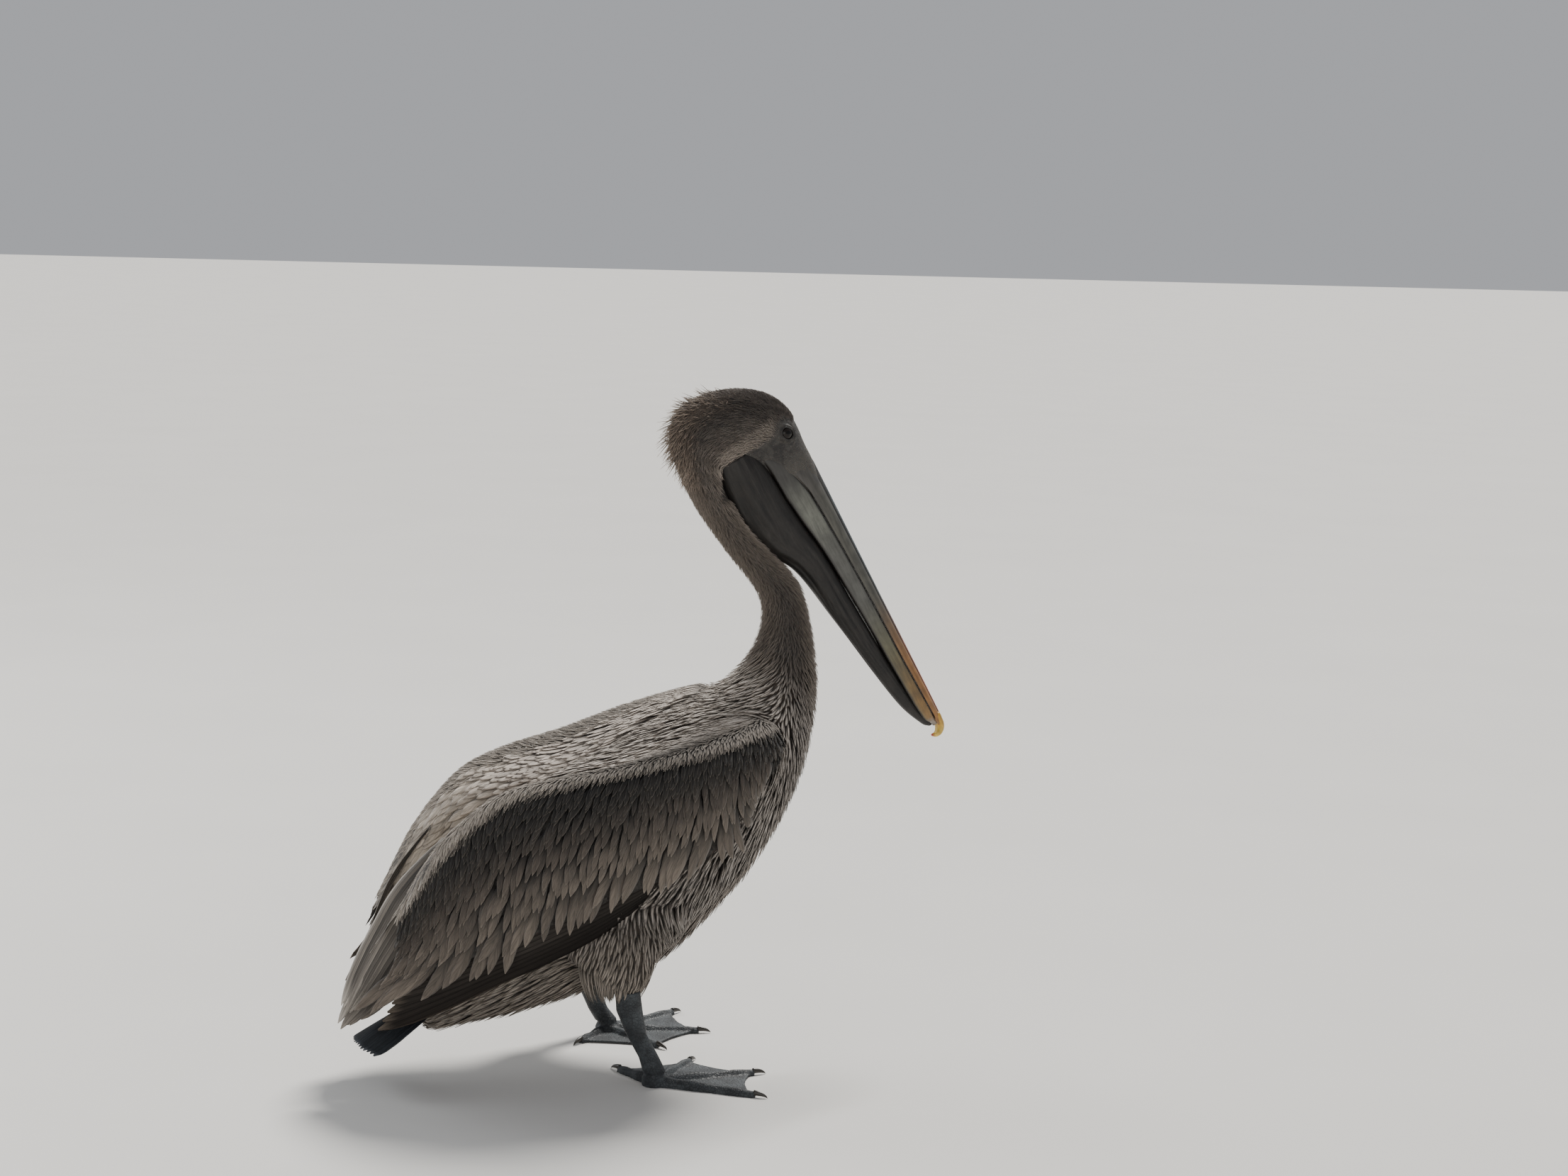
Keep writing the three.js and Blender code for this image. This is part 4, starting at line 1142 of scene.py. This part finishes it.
# Short feathers hang over the top of each leg.
FRINGE_FEATHERS = 420
for side, sign in SIDES:
    pick = np.flatnonzero((quad_thigh > 0.7) & (quad_mm[:, 2] < 124) & (quad_mm[:, 1] * sign > 0))
    low = quad_mm[pick, 2].min()
    pick = pick[(quad_mm[pick, 2] > low + 3) & (np.abs(quad_normal[pick, 2]) < 0.8)]
    chosen = rng.choice(pick, FRINGE_FEATHERS)
    start = quad_mm[chosen] + rng.uniform(-1.2, 1.2, (FRINGE_FEATHERS, 3))
    t = vane_times(5)[None, :, None]
    inward = (quad_mm[pick].mean(0) - start) * [0.35, 0.35, 0]
    size = np.clip(start[:, 2] - low, 0, 30) + rng.uniform(3, 13, FRINGE_FEATHERS)
    centre = start[:, None] + (np.array([-0.12, 0, -1.0]) * size[:, None])[:, None] * t
    centre = centre + quad_normal[chosen][:, None] * (1.5 * t) + inward[:, None] * t**2
    marks = body_marks(start, quad_s[chosen], quad_share[chosen])[:2]
    half = rng.uniform(0.7, 1.2, FRINGE_FEATHERS)
    face_feathers(f"thigh_fringe_{side}", chosen, centre, half, "pointed", 0.45, marks, 1.0, CONTOUR)


# --------------------------------------------------------- skin and its colour

def face_shade(s):
    """Bare facial skin: slate, a little warmer and paler towards the bill."""
    return mix(BARE_FACE, WARM_FACE, 0.5 * smooth(s, 21.5, 23))


skin_ground = body_marks(skin_mm, skin_s, skin_share)[2]
skin_ground = mix(skin_ground, wing_marks(skin_mm, np.full(len(co), 0.5))[0], wing_share)
# The bare skin's dark tone carries on a little way under the feathers' edge.
cheek_rim = smooth(face_edge(skin_mm), 7, 3) * smooth(skin_mm[:, 0], 60, 68) * (skin_s > 15)
eye_rim = smooth(eye_distance(skin_mm), 20, 15)
dark = np.maximum(bare(skin_mm, skin_s), np.maximum(cheek_rim, eye_rim) * 0.85)
skin_ground = mix(skin_ground, face_shade(skin_s), dark)

look = Look("skin", Roughness=0.6, Specular_IOR_Level=0.35, Subsurface_Weight=0.05,
            Subsurface_Scale=0.003)
tint, _ = look.stored()
mottle = look.noise(look.object(), 180, 4)
# Longer folds run across the bare skin.
folds = look.noise(look.drawn_out(0.5, (3.2, 1.0, 1.0)), 420, 3, 0.5)
flecks = look.noise(look.object(), 640, 2)
shade = look.mixed(look.ramp(mottle, 0.35, 0.7, 0.0, 0.55), tint, (0.075, 0.068, 0.06))
shade = look.mixed(look.ramp(flecks, 0.6, 0.75, 0.0, 0.4), shade, (0.19, 0.175, 0.155))
skin_bump = look.bump(folds, 0.6, 0.0009, look.bump(mottle, 0.5, 0.0012))
skin_bump = look.bump(look.cells(520, 0.25), 0.5, 0.0004, skin_bump)
SKIN = look.shows(Base_Color=shade, Normal=skin_bump)

skin = make_mesh("skin", co, quads=quads, colours=[("ground", skin_ground)])
finish_piece(skin, SKIN, "plumage_body", FLESH)
print("skin", 2 * len(quads), "triangles")


# -------------------------------------------------------------------- lofting

def loft(name, rings, material, slot, replaced, colour=None):
    """A closed solid over rings (r, m, 3) in layout millimetres, with a colour for each place."""
    verts, quads, ends = ring_faces(rings)
    quads, ends = turned_out(verts, quads, ends)
    colours = []
    if colour is not None:
        colour = colour.reshape(-1, 3)
        colours = [("ground", np.concatenate([colour, colour[:1], colour[-1:]]))]
    obj = make_mesh(name, place(verts), quads=quads, tris=ends, colours=colours)
    return finish_piece(obj, material, slot, replaced)


def outline(half):
    """A closed outline from half of one, the middle above to the middle below, its corners eased."""
    half = rail(half, np.linspace(0, len(half) - 1, (len(half) - 1) * 3 + 1))
    other = half[-2:0:-1].copy()
    other[:, 0] *= -1
    return np.concatenate([half, other])


at = np.concatenate([np.linspace(-12, 300, 106), np.linspace(302, 318, 14)])
gape, half = along_bill(BILL_GAPE, at), along_bill(BILL_HALF, at)
# Ridge, groove, side plate and cutting edge of the upper half: place across, place in depth.
UPPER = outline([
    [0, 0.0], [0.2, 0.012], [0.36, 0.07], [0.44, 0.17], [0.47, 0.26], [0.55, 0.27], [0.7, 0.34],
    [0.86, 0.5], [0.97, 0.7], [1.0, 0.86], [0.97, 0.97], [0.88, 0.985], [0.5, 0.9], [0, 0.86]])
beside, level = UPPER.T
shut = 1 - smooth(at, 306, 319) * 0.35
close_in = np.where(at > 308, 1 - 0.45 * smooth(at, 308, 320), 1)
across = beside * (half * close_in)[:, None]
room = (gape * shut - 0.35)[:, None]
# The groove fades out at both ends of the bill.
groove = (smooth(at, -5, 14) * smooth(at, 316, 300))[:, None]
ellipse = (1 - np.sqrt(np.clip(1 - (beside * 0.98) ** 2, 0, 1))) * 0.62
soft = np.minimum(level, np.where(level < 0.6, ellipse, level))
deep = level * room * groove + (soft * room) * (1 - groove)
# Its root sinks into the forehead, its tip under the nail.
sunk = smooth(at, 8, -12)[:, None]
deep = deep + 1.8 * smooth(at, 304, 308)[:, None]
upper_rings = bill_rings(at, across * (1 - 0.3 * sunk), deep * (1 - 0.4 * sunk) + 8 * sunk)


def bill_colour(at, share):
    """Horn colours: slate grey with a bluish ridge, warming to orange and red along the outer third."""
    shadow = smooth(share, 0.13, 0.2) * smooth(share, 0.34, 0.27)
    grey = mix(rgb("47463f"), rgb("525c61"), smooth(share, 0.22, 0.04))
    grey = mix(grey, rgb("1f1d1a"), shadow)
    warm = mix(rgb("8a5f2f"), rgb("9c4a36"), smooth(share, 0.3, 0.02))
    warm = mix(warm, rgb("3a2618"), shadow * 0.8)
    colour = mix(grey, warm, smooth(at, 150, 262) * 0.9)
    # Painted shade darkens the cutting edge, in the seam against the lower half.
    colour = mix(colour, SEAM_SHADE, smooth(share, 0.93, 0.99) * 0.8)
    return mix(colour, mix(BARE_FACE, WARM_FACE, 0.3), smooth(at, 60, 10) * 0.95)


# Streaks run along the bill, which points down from the head.
ALONG_BILL = -(math.pi / 2 - BILL_PITCH)


def horn_material(name, roughness, streak_scale, bump=0.25):
    """Bill horn: its own colours, with streaks along the bill and blotches of wear."""
    look = Look(name, Roughness=roughness, Specular_IOR_Level=0.5, Coat_Weight=0.12, Coat_Roughness=0.3)
    tint, _ = look.stored()
    streaks = look.noise(look.drawn_out(ALONG_BILL, (1.0, 1.0, 11.0)), streak_scale, 5, 0.6)
    blotches = look.noise(look.object(), 70, 4, 0.6)
    tone = look.times(look.ramp(streaks, 0.25, 0.75, 0.72, 1.28),
                      look.ramp(blotches, 0.3, 0.7, 0.78, 1.2))
    return look.shows(Base_Color=look.toned(tint, tone), Normal=look.bump(streaks, bump, 0.0007),
                      Roughness=look.ramp(blotches, 0.3, 0.7, roughness - 0.08, roughness + 0.12))


HORN = horn_material("bill_horn", 0.42, 420)
upper_colour = bill_colour(*np.broadcast_arrays(at[:, None], level))
loft("bill_upper_horn", upper_rings, HORN, "bill", ("bill_upper",), upper_colour)

# Lower half: the two rods of the jaw show as a pale strip above the pouch.
at = np.concatenate([np.linspace(-31, 0, 16)[:-1], np.linspace(0, 313, 106)])
gape, ramus, half = (along_bill(table, at) for table in (BILL_GAPE, BILL_RAMUS, BILL_HALF))
# Behind the bill it tapers back to the corner of the mouth.
behind = np.clip(-at / 31, 0, 1)
gape, ramus = gape + (50 - gape) * behind**1.3, ramus + (53.5 - ramus) * behind**1.3
half = half + 7.2 * behind - 7.5 * behind**3.5
beside, level = outline([
    [0, 0.1], [0.7, 0.02], [0.9, 0.0], [0.965, 0.1], [0.975, 0.4], [0.95, 0.7], [0.9, 0.9],
    [0.8, 1.0], [0.5, 1.0], [0, 0.96]]).T
across = beside * (half * (1 - 0.5 * smooth(at, 296, 314)))[:, None]
tall = (ramus - gape - 0.3) * (1 - 0.55 * smooth(at, 298, 314))
deep = gape[:, None] * (1 - 0.1 * smooth(at, 300, 314))[:, None] + 0.35 + level * tall[:, None]
lower_rings = bill_rings(at, across, deep)
at, level = np.broadcast_arrays(at[:, None], level)
lower_colour = mix(rgb("4b4b47"), rgb("66685f"), smooth(at, 105, 45) * 0.7)
# The face's colour at the root, olive and orange towards the tip, a pale tip, and painted shade along
# the top and bottom edges, in the seams against the upper half and the pouch.
for colour, share in (
        (BARE_FACE * 0.8, smooth(at, 52, -6) * 0.97),
        (rgb("5e5a34"), smooth(at, 150, 230) * 0.5),
        (rgb("7a5a2c"), smooth(at, 205, 285) * 0.8 * (1 - 0.6 * smooth(level, 0.5, 1.0))),
        (SEAM_SHADE, smooth(level, 0.82, 0.98)), (SEAM_SHADE, smooth(level, 0.12, 0.03)),
        (rgb("97908a"), smooth(at, 301, 309) * 0.7)):
    lower_colour = mix(lower_colour, colour, share)
loft("bill_lower_horn", lower_rings, HORN, "bill", ("bill_lower",), lower_colour)

# The nail curls down over the tip: distance along the bill, depth, thickness, half width.
NAIL = [[302.5, 4.6, 5.4, 6.6], [305, 4.0, 7.8, 7.9], [310, 4.4, 8.4, 7.9], [315, 4.9, 8.8, 7.3],
        [319.5, 6.6, 8.4, 6.4], [322.8, 9.8, 7.2, 5.2], [323.6, 13.6, 5.4, 3.8],
        [322.4, 16.6, 3.4, 2.3], [321.6, 18.0, 1.6, 1.2]]
NAIL_RINGS = 34
rows = rail(NAIL, np.linspace(0, len(NAIL) - 1, NAIL_RINGS))
path = bill_point(rows[:, 0], rows[:, 1])
travel = unit(np.gradient(path, axis=0))
outwards = np.stack([-travel[:, 1], travel[:, 0]], -1)
angle = circle(28)
ring_y = rows[:, 3:4] * np.sin(angle)
ring_xz = path[:, None] + outwards[:, None] * (rows[:, 2:3] / 2 * np.cos(angle))[..., None]
nail_rings = np.stack([ring_xz[..., 0], ring_y, ring_xz[..., 1]], -1)
tipness = np.broadcast_to(np.linspace(0, 1, NAIL_RINGS)[:, None], ring_y.shape)
nail_colour = mix(rgb("b98f35"), rgb("c9a84a"), smooth(tipness, 0.3, 0.6))
nail_colour = mix(nail_colour, rgb("b04a35"), smooth(tipness, 0.8, 0.97))
NAIL_HORN = horn_material("nail_horn", 0.35, 300, 0.15)
loft("bill_nail_horn", nail_rings, NAIL_HORN, "bill_nail", ("bill_nail",), nail_colour)

# The pouch: thin dark skin gathered in lengthwise folds between the rods.  Distance along the bill,
# upper and lower depth, half width.
POUCH = [[-40, 50, 97, 24], [-14, 46, 99, 26.5], [25, 43.5, 98, 25], [60, 38.5, 89, 20],
         [95, 33.5, 68, 15.5], [160, 29.3, 55, 11.5], [225, 25, 44, 9.4], [275, 20, 34, 7.6],
         [304, 14, 22.5, 5.4], [311, 13, 17, 3.2]]
rows = rail(POUCH, np.linspace(0, len(POUCH) - 1, 150))
at, wide = rows[:, 0:1], rows[:, 3:4]
around = circle(96)[None]
middle, tall = (rows[:, 1:2] + rows[:, 2:3]) / 2, (rows[:, 2:3] - rows[:, 1:2]) / 2
# Folds: how many half waves round the pouch, their weight and where they start.
fold = 0
for number, weight, start in ((7, 0.5, 0.0), (11, 0.35, 1.3), (17, 0.2, 2.1)):
    drift = 0.25 * np.sin(at / 90 + start * 3) + 0.12 * np.sin(at / 31 + start)
    fold = fold + weight * -np.abs(np.sin(number * (around + drift) / 2 + start)) ** 3
fold_size = np.interp(at, [-40, 20, 90, 200, 290, 311], [2.0, 2.8, 2.3, 1.4, 0.3, 0.0])
below = smooth(-np.cos(around), -0.75, -0.2)
inward = 1 + fold * fold_size * below / np.maximum(wide, 6)
hang = middle - tall * np.cos(around)
pouch_rings = bill_rings(rows[:, 0], wide * np.sin(around) * inward,
                         middle + (hang - middle) * (1 + (inward - 1) * 0.4))

look = Look("pouch_skin", Roughness=0.55, Specular_IOR_Level=0.4, Subsurface_Weight=0.06,
            Subsurface_Scale=0.004)
lines = look.noise(look.drawn_out(ALONG_BILL, (1.0, 1.0, 8.0)), 330, 5, 0.62)
patches = look.noise(look.object(), 38, 4, 0.6)
base = look.mixed(look.ramp(patches, 0.35, 0.7), rgb("131110"), rgb("1f1c1a"))
base = look.mixed(look.ramp(lines, 0.45, 0.75, 0.0, 0.5), base, rgb("322e2b"))
POUCH_SKIN = look.shows(Base_Color=base, Normal=look.bump(lines, 0.5, 0.0012))
loft("pouch_folds", pouch_rings, POUCH_SKIN, "pouch_skin", ("pouch",))


# ------------------------------------------------------------------------ eyes

look = Look("eye", Roughness=0.16, Specular_IOR_Level=0.22, Coat_Weight=0.1, Coat_Roughness=0.05)
tint, _ = look.stored()
fleck = look.ramp(look.noise(look.object(), 1500, 3), 0.4, 0.7, 0.0, 0.4)
EYE_LOOK = look.shows(Base_Color=look.mixed(fleck, tint, rgb("120b07")))
PUPIL, IRIS, IRIS_RIM = rgb("050404"), rgb("140c07"), rgb("120c09")
LID_POINTS = 72


def eye(side, sign):
    """The eyeball and, round it, the lids."""
    centre = np.array([EYE[0], sign * EYE[1], EYE[2]])
    facing = unit(np.array([0.2, sign * 1.0, 0.12]))
    ahead = np.array([0.93, 0, -0.36])
    forward = unit(ahead - facing * (ahead @ facing))
    upward = np.cross(facing, forward) * -sign
    polar = np.linspace(0, math.pi, 41)[1:-1, None, None]
    turn = circle(48)[None, :, None]
    out = np.cos(polar) * facing + np.sin(polar) * (np.cos(turn) * forward + np.sin(turn) * upward)
    rings = centre + EYE_RADIUS * out
    reach = np.broadcast_to(np.sin(polar)[..., 0] * EYE_RADIUS, rings.shape[:2])
    colour = mix(mix(PUPIL, IRIS, smooth(reach, 2.4, 2.8)), IRIS_RIM, smooth(reach, 4.3, 5.4))
    loft(f"eyeball_{side}", rings, EYE_LOOK, "eye", (f"eye_{side}",), colour)

    def rest(away):
        """Height of the skin over the eye's middle, a way off it."""
        spot = centre + away + facing * 30
        hit = skin_tree.ray_cast(Vector(place(spot)), -Vector(facing))[0]
        return (unplace(np.array(hit)) - centre) @ facing if hit is not None else 0.0

    # The lids: two soft ridges round the opening, longer than high, over the ball.
    turn = circle(LID_POINTS)
    opening = 5.7 * (1 + 0.1 * np.cos(2 * turn)) - 0.5 * np.exp(-((turn - math.pi / 2) / 0.9) ** 2)
    ball = math.sqrt(EYE_RADIUS**2 - 5.6**2)
    rings = []
    for a, r in zip(turn, opening):
        way = math.cos(a) * forward + math.sin(a) * upward
        near, far = rest((r + 4.5) * way), rest((r + 7.5) * way)
        ridge = [(0.0, ball - 0.7), (0.0, ball + 0.35), (0.45, ball + 1.0), (1.1, ball + 1.0),
                 (1.7, ball + 0.7), (2.2, ball + 0.4), (2.8, ball + 0.5),
                 (3.5, (2 * ball + near) / 3 + 0.3), (4.6, near + 0.2), (7.0, far - 0.35),
                 (8.0, far - 2.0), (5.0, near - 3.0), (1.0, ball - 3.0)]
        rings.append([centre + way * (r + o) + facing * h for o, h in ridge])
    rings = np.array(rings)
    m = rings.shape[1]
    i, j = np.arange(LID_POINTS)[:, None] * m, np.arange(m)
    ahead, nxt = (i + m) % (LID_POINTS * m), (j + 1) % m
    quads = np.stack([i + j, i + nxt, ahead + nxt, ahead + j], -1).reshape(-1, 4)
    if sign > 0:
        quads = quads[:, ::-1]
    outer = np.interp(j, [0, 2, 4, 8, 10, 12], [0.35, 0.45, 0.6, 1.0, 1.0, 0.5])
    lid_colour = np.tile(outer[:, None] * face_shade(np.full(m, 21.9)), (LID_POINTS, 1))
    lid = make_mesh(f"eyelids_{side}", place(rings.reshape(-1, 3)), quads=quads,
                    colours=[("ground", lid_colour)])
    finish_piece(lid, SKIN, "pouch_skin")


for side, sign in SIDES:
    eye(side, sign)

# ------------------------------------------------------------- legs and feet

look = Look("foot_skin", Roughness=0.58, Specular_IOR_Level=0.4)
plates = look.cells(330, 0.12)
wear = look.ramp(look.noise(look.object(), 60, 4), 0.35, 0.7)
base = look.mixed(wear, rgb("292c2f"), rgb("44494c"))
base = look.mixed(look.ramp(plates, 0.0, 1.0, 0.5, 0.0), base, rgb("1b1c1d"))
FOOT = look.shows(Base_Color=base, Normal=look.bump(plates, 0.6, 0.0006))
look = Look("claw_horn", Roughness=0.35, Specular_IOR_Level=0.5)
grain = look.noise(look.object(), 500, 3)
CLAW_HORN = look.shows(Base_Color=look.mixed(grain, rgb("15130f"), rgb("37322c")))

# Where each foot's toes meet, and their lengths and headings in degrees.
FEET = {
    "right": ((-8, -86.7), ((52, 109), (78, 42), (103, -1), (101, -40))),
    "left": ((8, 86.7), ((47, -144), (72, -65), (93, -19), (95, 24))),
}
FOOT_VOXEL = 0.0013
for side, (joint, toes) in FEET.items():
    solids = (f"leg_{side}", f"foot_{side}")
    foot_co, foot_quads = remeshed(solids, FOOT_VOXEL)
    foot_co = relaxed(foot_co, edges_of(foot_quads), 10, hold=0.58)
    # The soles stay flat on the floor.
    foot_co[:, 2] = np.maximum(foot_co[:, 2], 0)
    foot = make_mesh(f"foot_and_leg_{side}", foot_co, quads=foot_quads)
    finish_piece(foot, FOOT, "foot_skin", solids)
    for number, (long, turn) in enumerate(toes, 1):
        heading = math.radians(turn)
        share, round_ = np.linspace(0, 1, 16)[:, None], circle(14)
        ahead = long - 1.5 + 14 * np.sin(share * 1.3)
        thick = 2.7 * (1 - 0.86 * share**1.3)
        aside = thick * np.cos(round_) * 0.85
        height = 4.4 - 3.7 * share**2 + thick * np.sin(round_)
        rings = np.stack([joint[0] + ahead * math.cos(heading) - aside * math.sin(heading),
                          joint[1] + ahead * math.sin(heading) + aside * math.cos(heading),
                          np.maximum(height, 0.15)], -1)
        loft(f"claw_horn_{side}_{number}", rings, CLAW_HORN, "claw", (f"claw_{side}_{number}",))

# -------------------------------------------------------------- nape and crest

CREST_FEATHERS, NAPE_HALF = 900, 28
pick = np.flatnonzero((quad_s > 15.2) & (quad_s < 19.0) & (quad_share < 0.33))
weight = quad_area[pick] * (1 - 0.95 * np.abs(quad_mm[pick, 1]) / NAPE_HALF).clip(0.04, 1)
weight = weight * smooth(quad_s[pick], 19.2, 17.8)
chosen = rng.choice(pick, CREST_FEATHERS, p=weight / weight.sum())
start = quad_mm[chosen] + rng.uniform(-1.4, 1.4, (CREST_FEATHERS, 3))
size = rng.uniform(9, 25, CREST_FEATHERS) * (1 - 0.55 * (np.abs(start[:, 1]) / NAPE_HALF))
size = size * np.interp(quad_s[chosen], [15.2, 16.2, 17.6, 19], [0.5, 1.0, 0.9, 0.5])
heading = (quad_flow[chosen] * rng.uniform(0.45, 0.95, (CREST_FEATHERS, 1))
           + quad_normal[chosen] * rng.uniform(0.35, 0.85, (CREST_FEATHERS, 1)))
# Neighbouring feathers cling together in spikes.
clump = np.stack([noise3(start, 7, 40 + axis) for axis in range(3)], 1)
heading = unit(heading + rng.normal(0, 0.07, (CREST_FEATHERS, 3)) + 0.3 * clump)
t = vane_times(6)[None]
centre = start[:, None] + heading[:, None] * (size[:, None] * t)[..., None]
sag = size[:, None] * rng.uniform(0.0, 0.16, (CREST_FEATHERS, 1)) * t ** 2
centre = centre - np.array([0, 0, 1.0]) * sag[..., None]
# The wisps' tips are paler: partly their own light brown, partly a painted highlight of the light from
# behind.
ground, edge, _ = body_marks(start, quad_s[chosen], quad_share[chosen])
face_feathers("crest", chosen, centre, rng.uniform(0.42, 0.72, CREST_FEATHERS), "hair", 0.4,
              (ground, mix(edge, rgb("c6b29e"), 0.85)), 1.0, DOWN)

# Small feathers cover the front of each folded wing, where it meets the breast.
SHOULDER_GAP = 2.7
for side, sign in SIDES:
    in_front = (quad_wing >= 0.5) & (quad_mm[:, 0] > 55) & (quad_mm[:, 2] < 338)
    in_front &= quad_mm[:, 1] * sign > 0
    in_front &= (quad_normal[:, 0] > 0.05) | (quad_normal[:, 1] * sign < 0)
    start, face = scatter(in_front, np.full(len(quads), SHOULDER_GAP))
    start = unplace(start)
    t = vane_times(5)[None]
    hang = np.array([-0.5, 0, -1.0]) + 0.12 * rng.normal(size=start.shape)
    n = quad_normal[face]
    heading = square_to(hang, n)
    size = rng.uniform(13, 19, len(start))
    centre = start[:, None] + heading[:, None] * (size[:, None] * t)[..., None]
    centre = centre + n[:, None] * (-1.0 + 3.0 * t)[..., None]
    marks = wing_marks(start, np.interp(start[:, 2], [225, 300, 335], [0.85, 0.55, 0.4]))
    half = rng.uniform(1.3, 1.8, len(start))
    face_feathers(f"shoulder_{side}", face, centre, half, "pointed", 0.45, marks, 0.9, COVERT)

# ------------------------------------------------- floor, light and the camera

def in_scene(name, data):
    """A new object of the scene."""
    obj = bpy.data.objects.new(name, data)
    bpy.context.scene.collection.objects.link(obj)
    return obj


floor_mesh = bpy.data.meshes.new("floor")
FLOOR_HALF = 30
corners = [(x * FLOOR_HALF, y * FLOOR_HALF, 0) for x, y in ((-1, -1), (1, -1), (1, 1), (-1, 1))]
floor_mesh.from_pydata(corners, [], [(0, 1, 2, 3)])
look = Look("floor", Roughness=0.85)
clouds = look.noise(look.object(), 3, 2)
floor_mesh.materials.append(look.shows(Base_Color=look.mixed(clouds, rgb("cdcbc7"), rgb("d4d2ce"))))
floor = in_scene("floor", floor_mesh)

world = bpy.data.worlds.new("studio")
bpy.context.scene.world = world
world.use_nodes = True
sky = world.node_tree.nodes["Background"]
sky.inputs["Color"].default_value = (0.93, 0.95, 1.0, 1)
sky.inputs["Strength"].default_value = 0.45


def softbox(name, position, width, height, power, colour):
    """A rectangular light that looks at the middle of the bird."""
    light = bpy.data.lights.new(name, "AREA")
    light.shape = "RECTANGLE"
    light.size, light.size_y = width, height
    light.energy = power
    light.color = colour
    obj = in_scene(name, light)
    obj.location = position
    obj.rotation_euler = (Vector((0, 0, 0.3)) - Vector(position)).to_track_quat("-Z", "Y").to_euler()


softbox("fill", (-2.2, -3.4, 1.5), 3.4, 2.2, 36, (1.0, 0.99, 0.97))
softbox("rim", (-1.9, 2.2, 1.9), 1.4, 1.4, 30, (0.93, 0.97, 1.0))
sun = bpy.data.lights.new("key", "SUN")
sun.energy = 4.9
sun.angle = math.radians(16)
sun.color = (1.0, 0.975, 0.93)
in_scene("key", sun).rotation_euler = Vector((0.62, 0.5, 1.15)).to_track_quat("Z", "Y").to_euler()

camera_data = bpy.data.cameras.new("camera")
camera_data.lens = 64.196
camera_data.sensor_width = 36.0
camera_data.sensor_fit = "HORIZONTAL"
camera_data.clip_end = 200
camera = in_scene("camera", camera_data)
# The camera stands to the bird's right, looks a little down and leans a little.
CAMERA_AT = (-955.8, -2480.2, 832.0)
CAMERA_FACES = (0.406737, 0.913545, 0.0)
PITCH, ROLL = math.radians(7.769), math.radians(1.964)
forward = unit(np.array(CAMERA_FACES)) * math.cos(PITCH) + np.array([0, 0, -1]) * math.sin(PITCH)
level_right = unit(np.cross(forward, (0, 0, 1)))
level_up = np.cross(level_right, forward)
right = level_right * math.cos(ROLL) + level_up * math.sin(ROLL)
up = level_up * math.cos(ROLL) - level_right * math.sin(ROLL)
basis = Matrix((right, up, -forward)).transposed().to_4x4()
basis.translation = Vector(place(CAMERA_AT))
camera.matrix_world = basis
bpy.context.scene.camera = camera
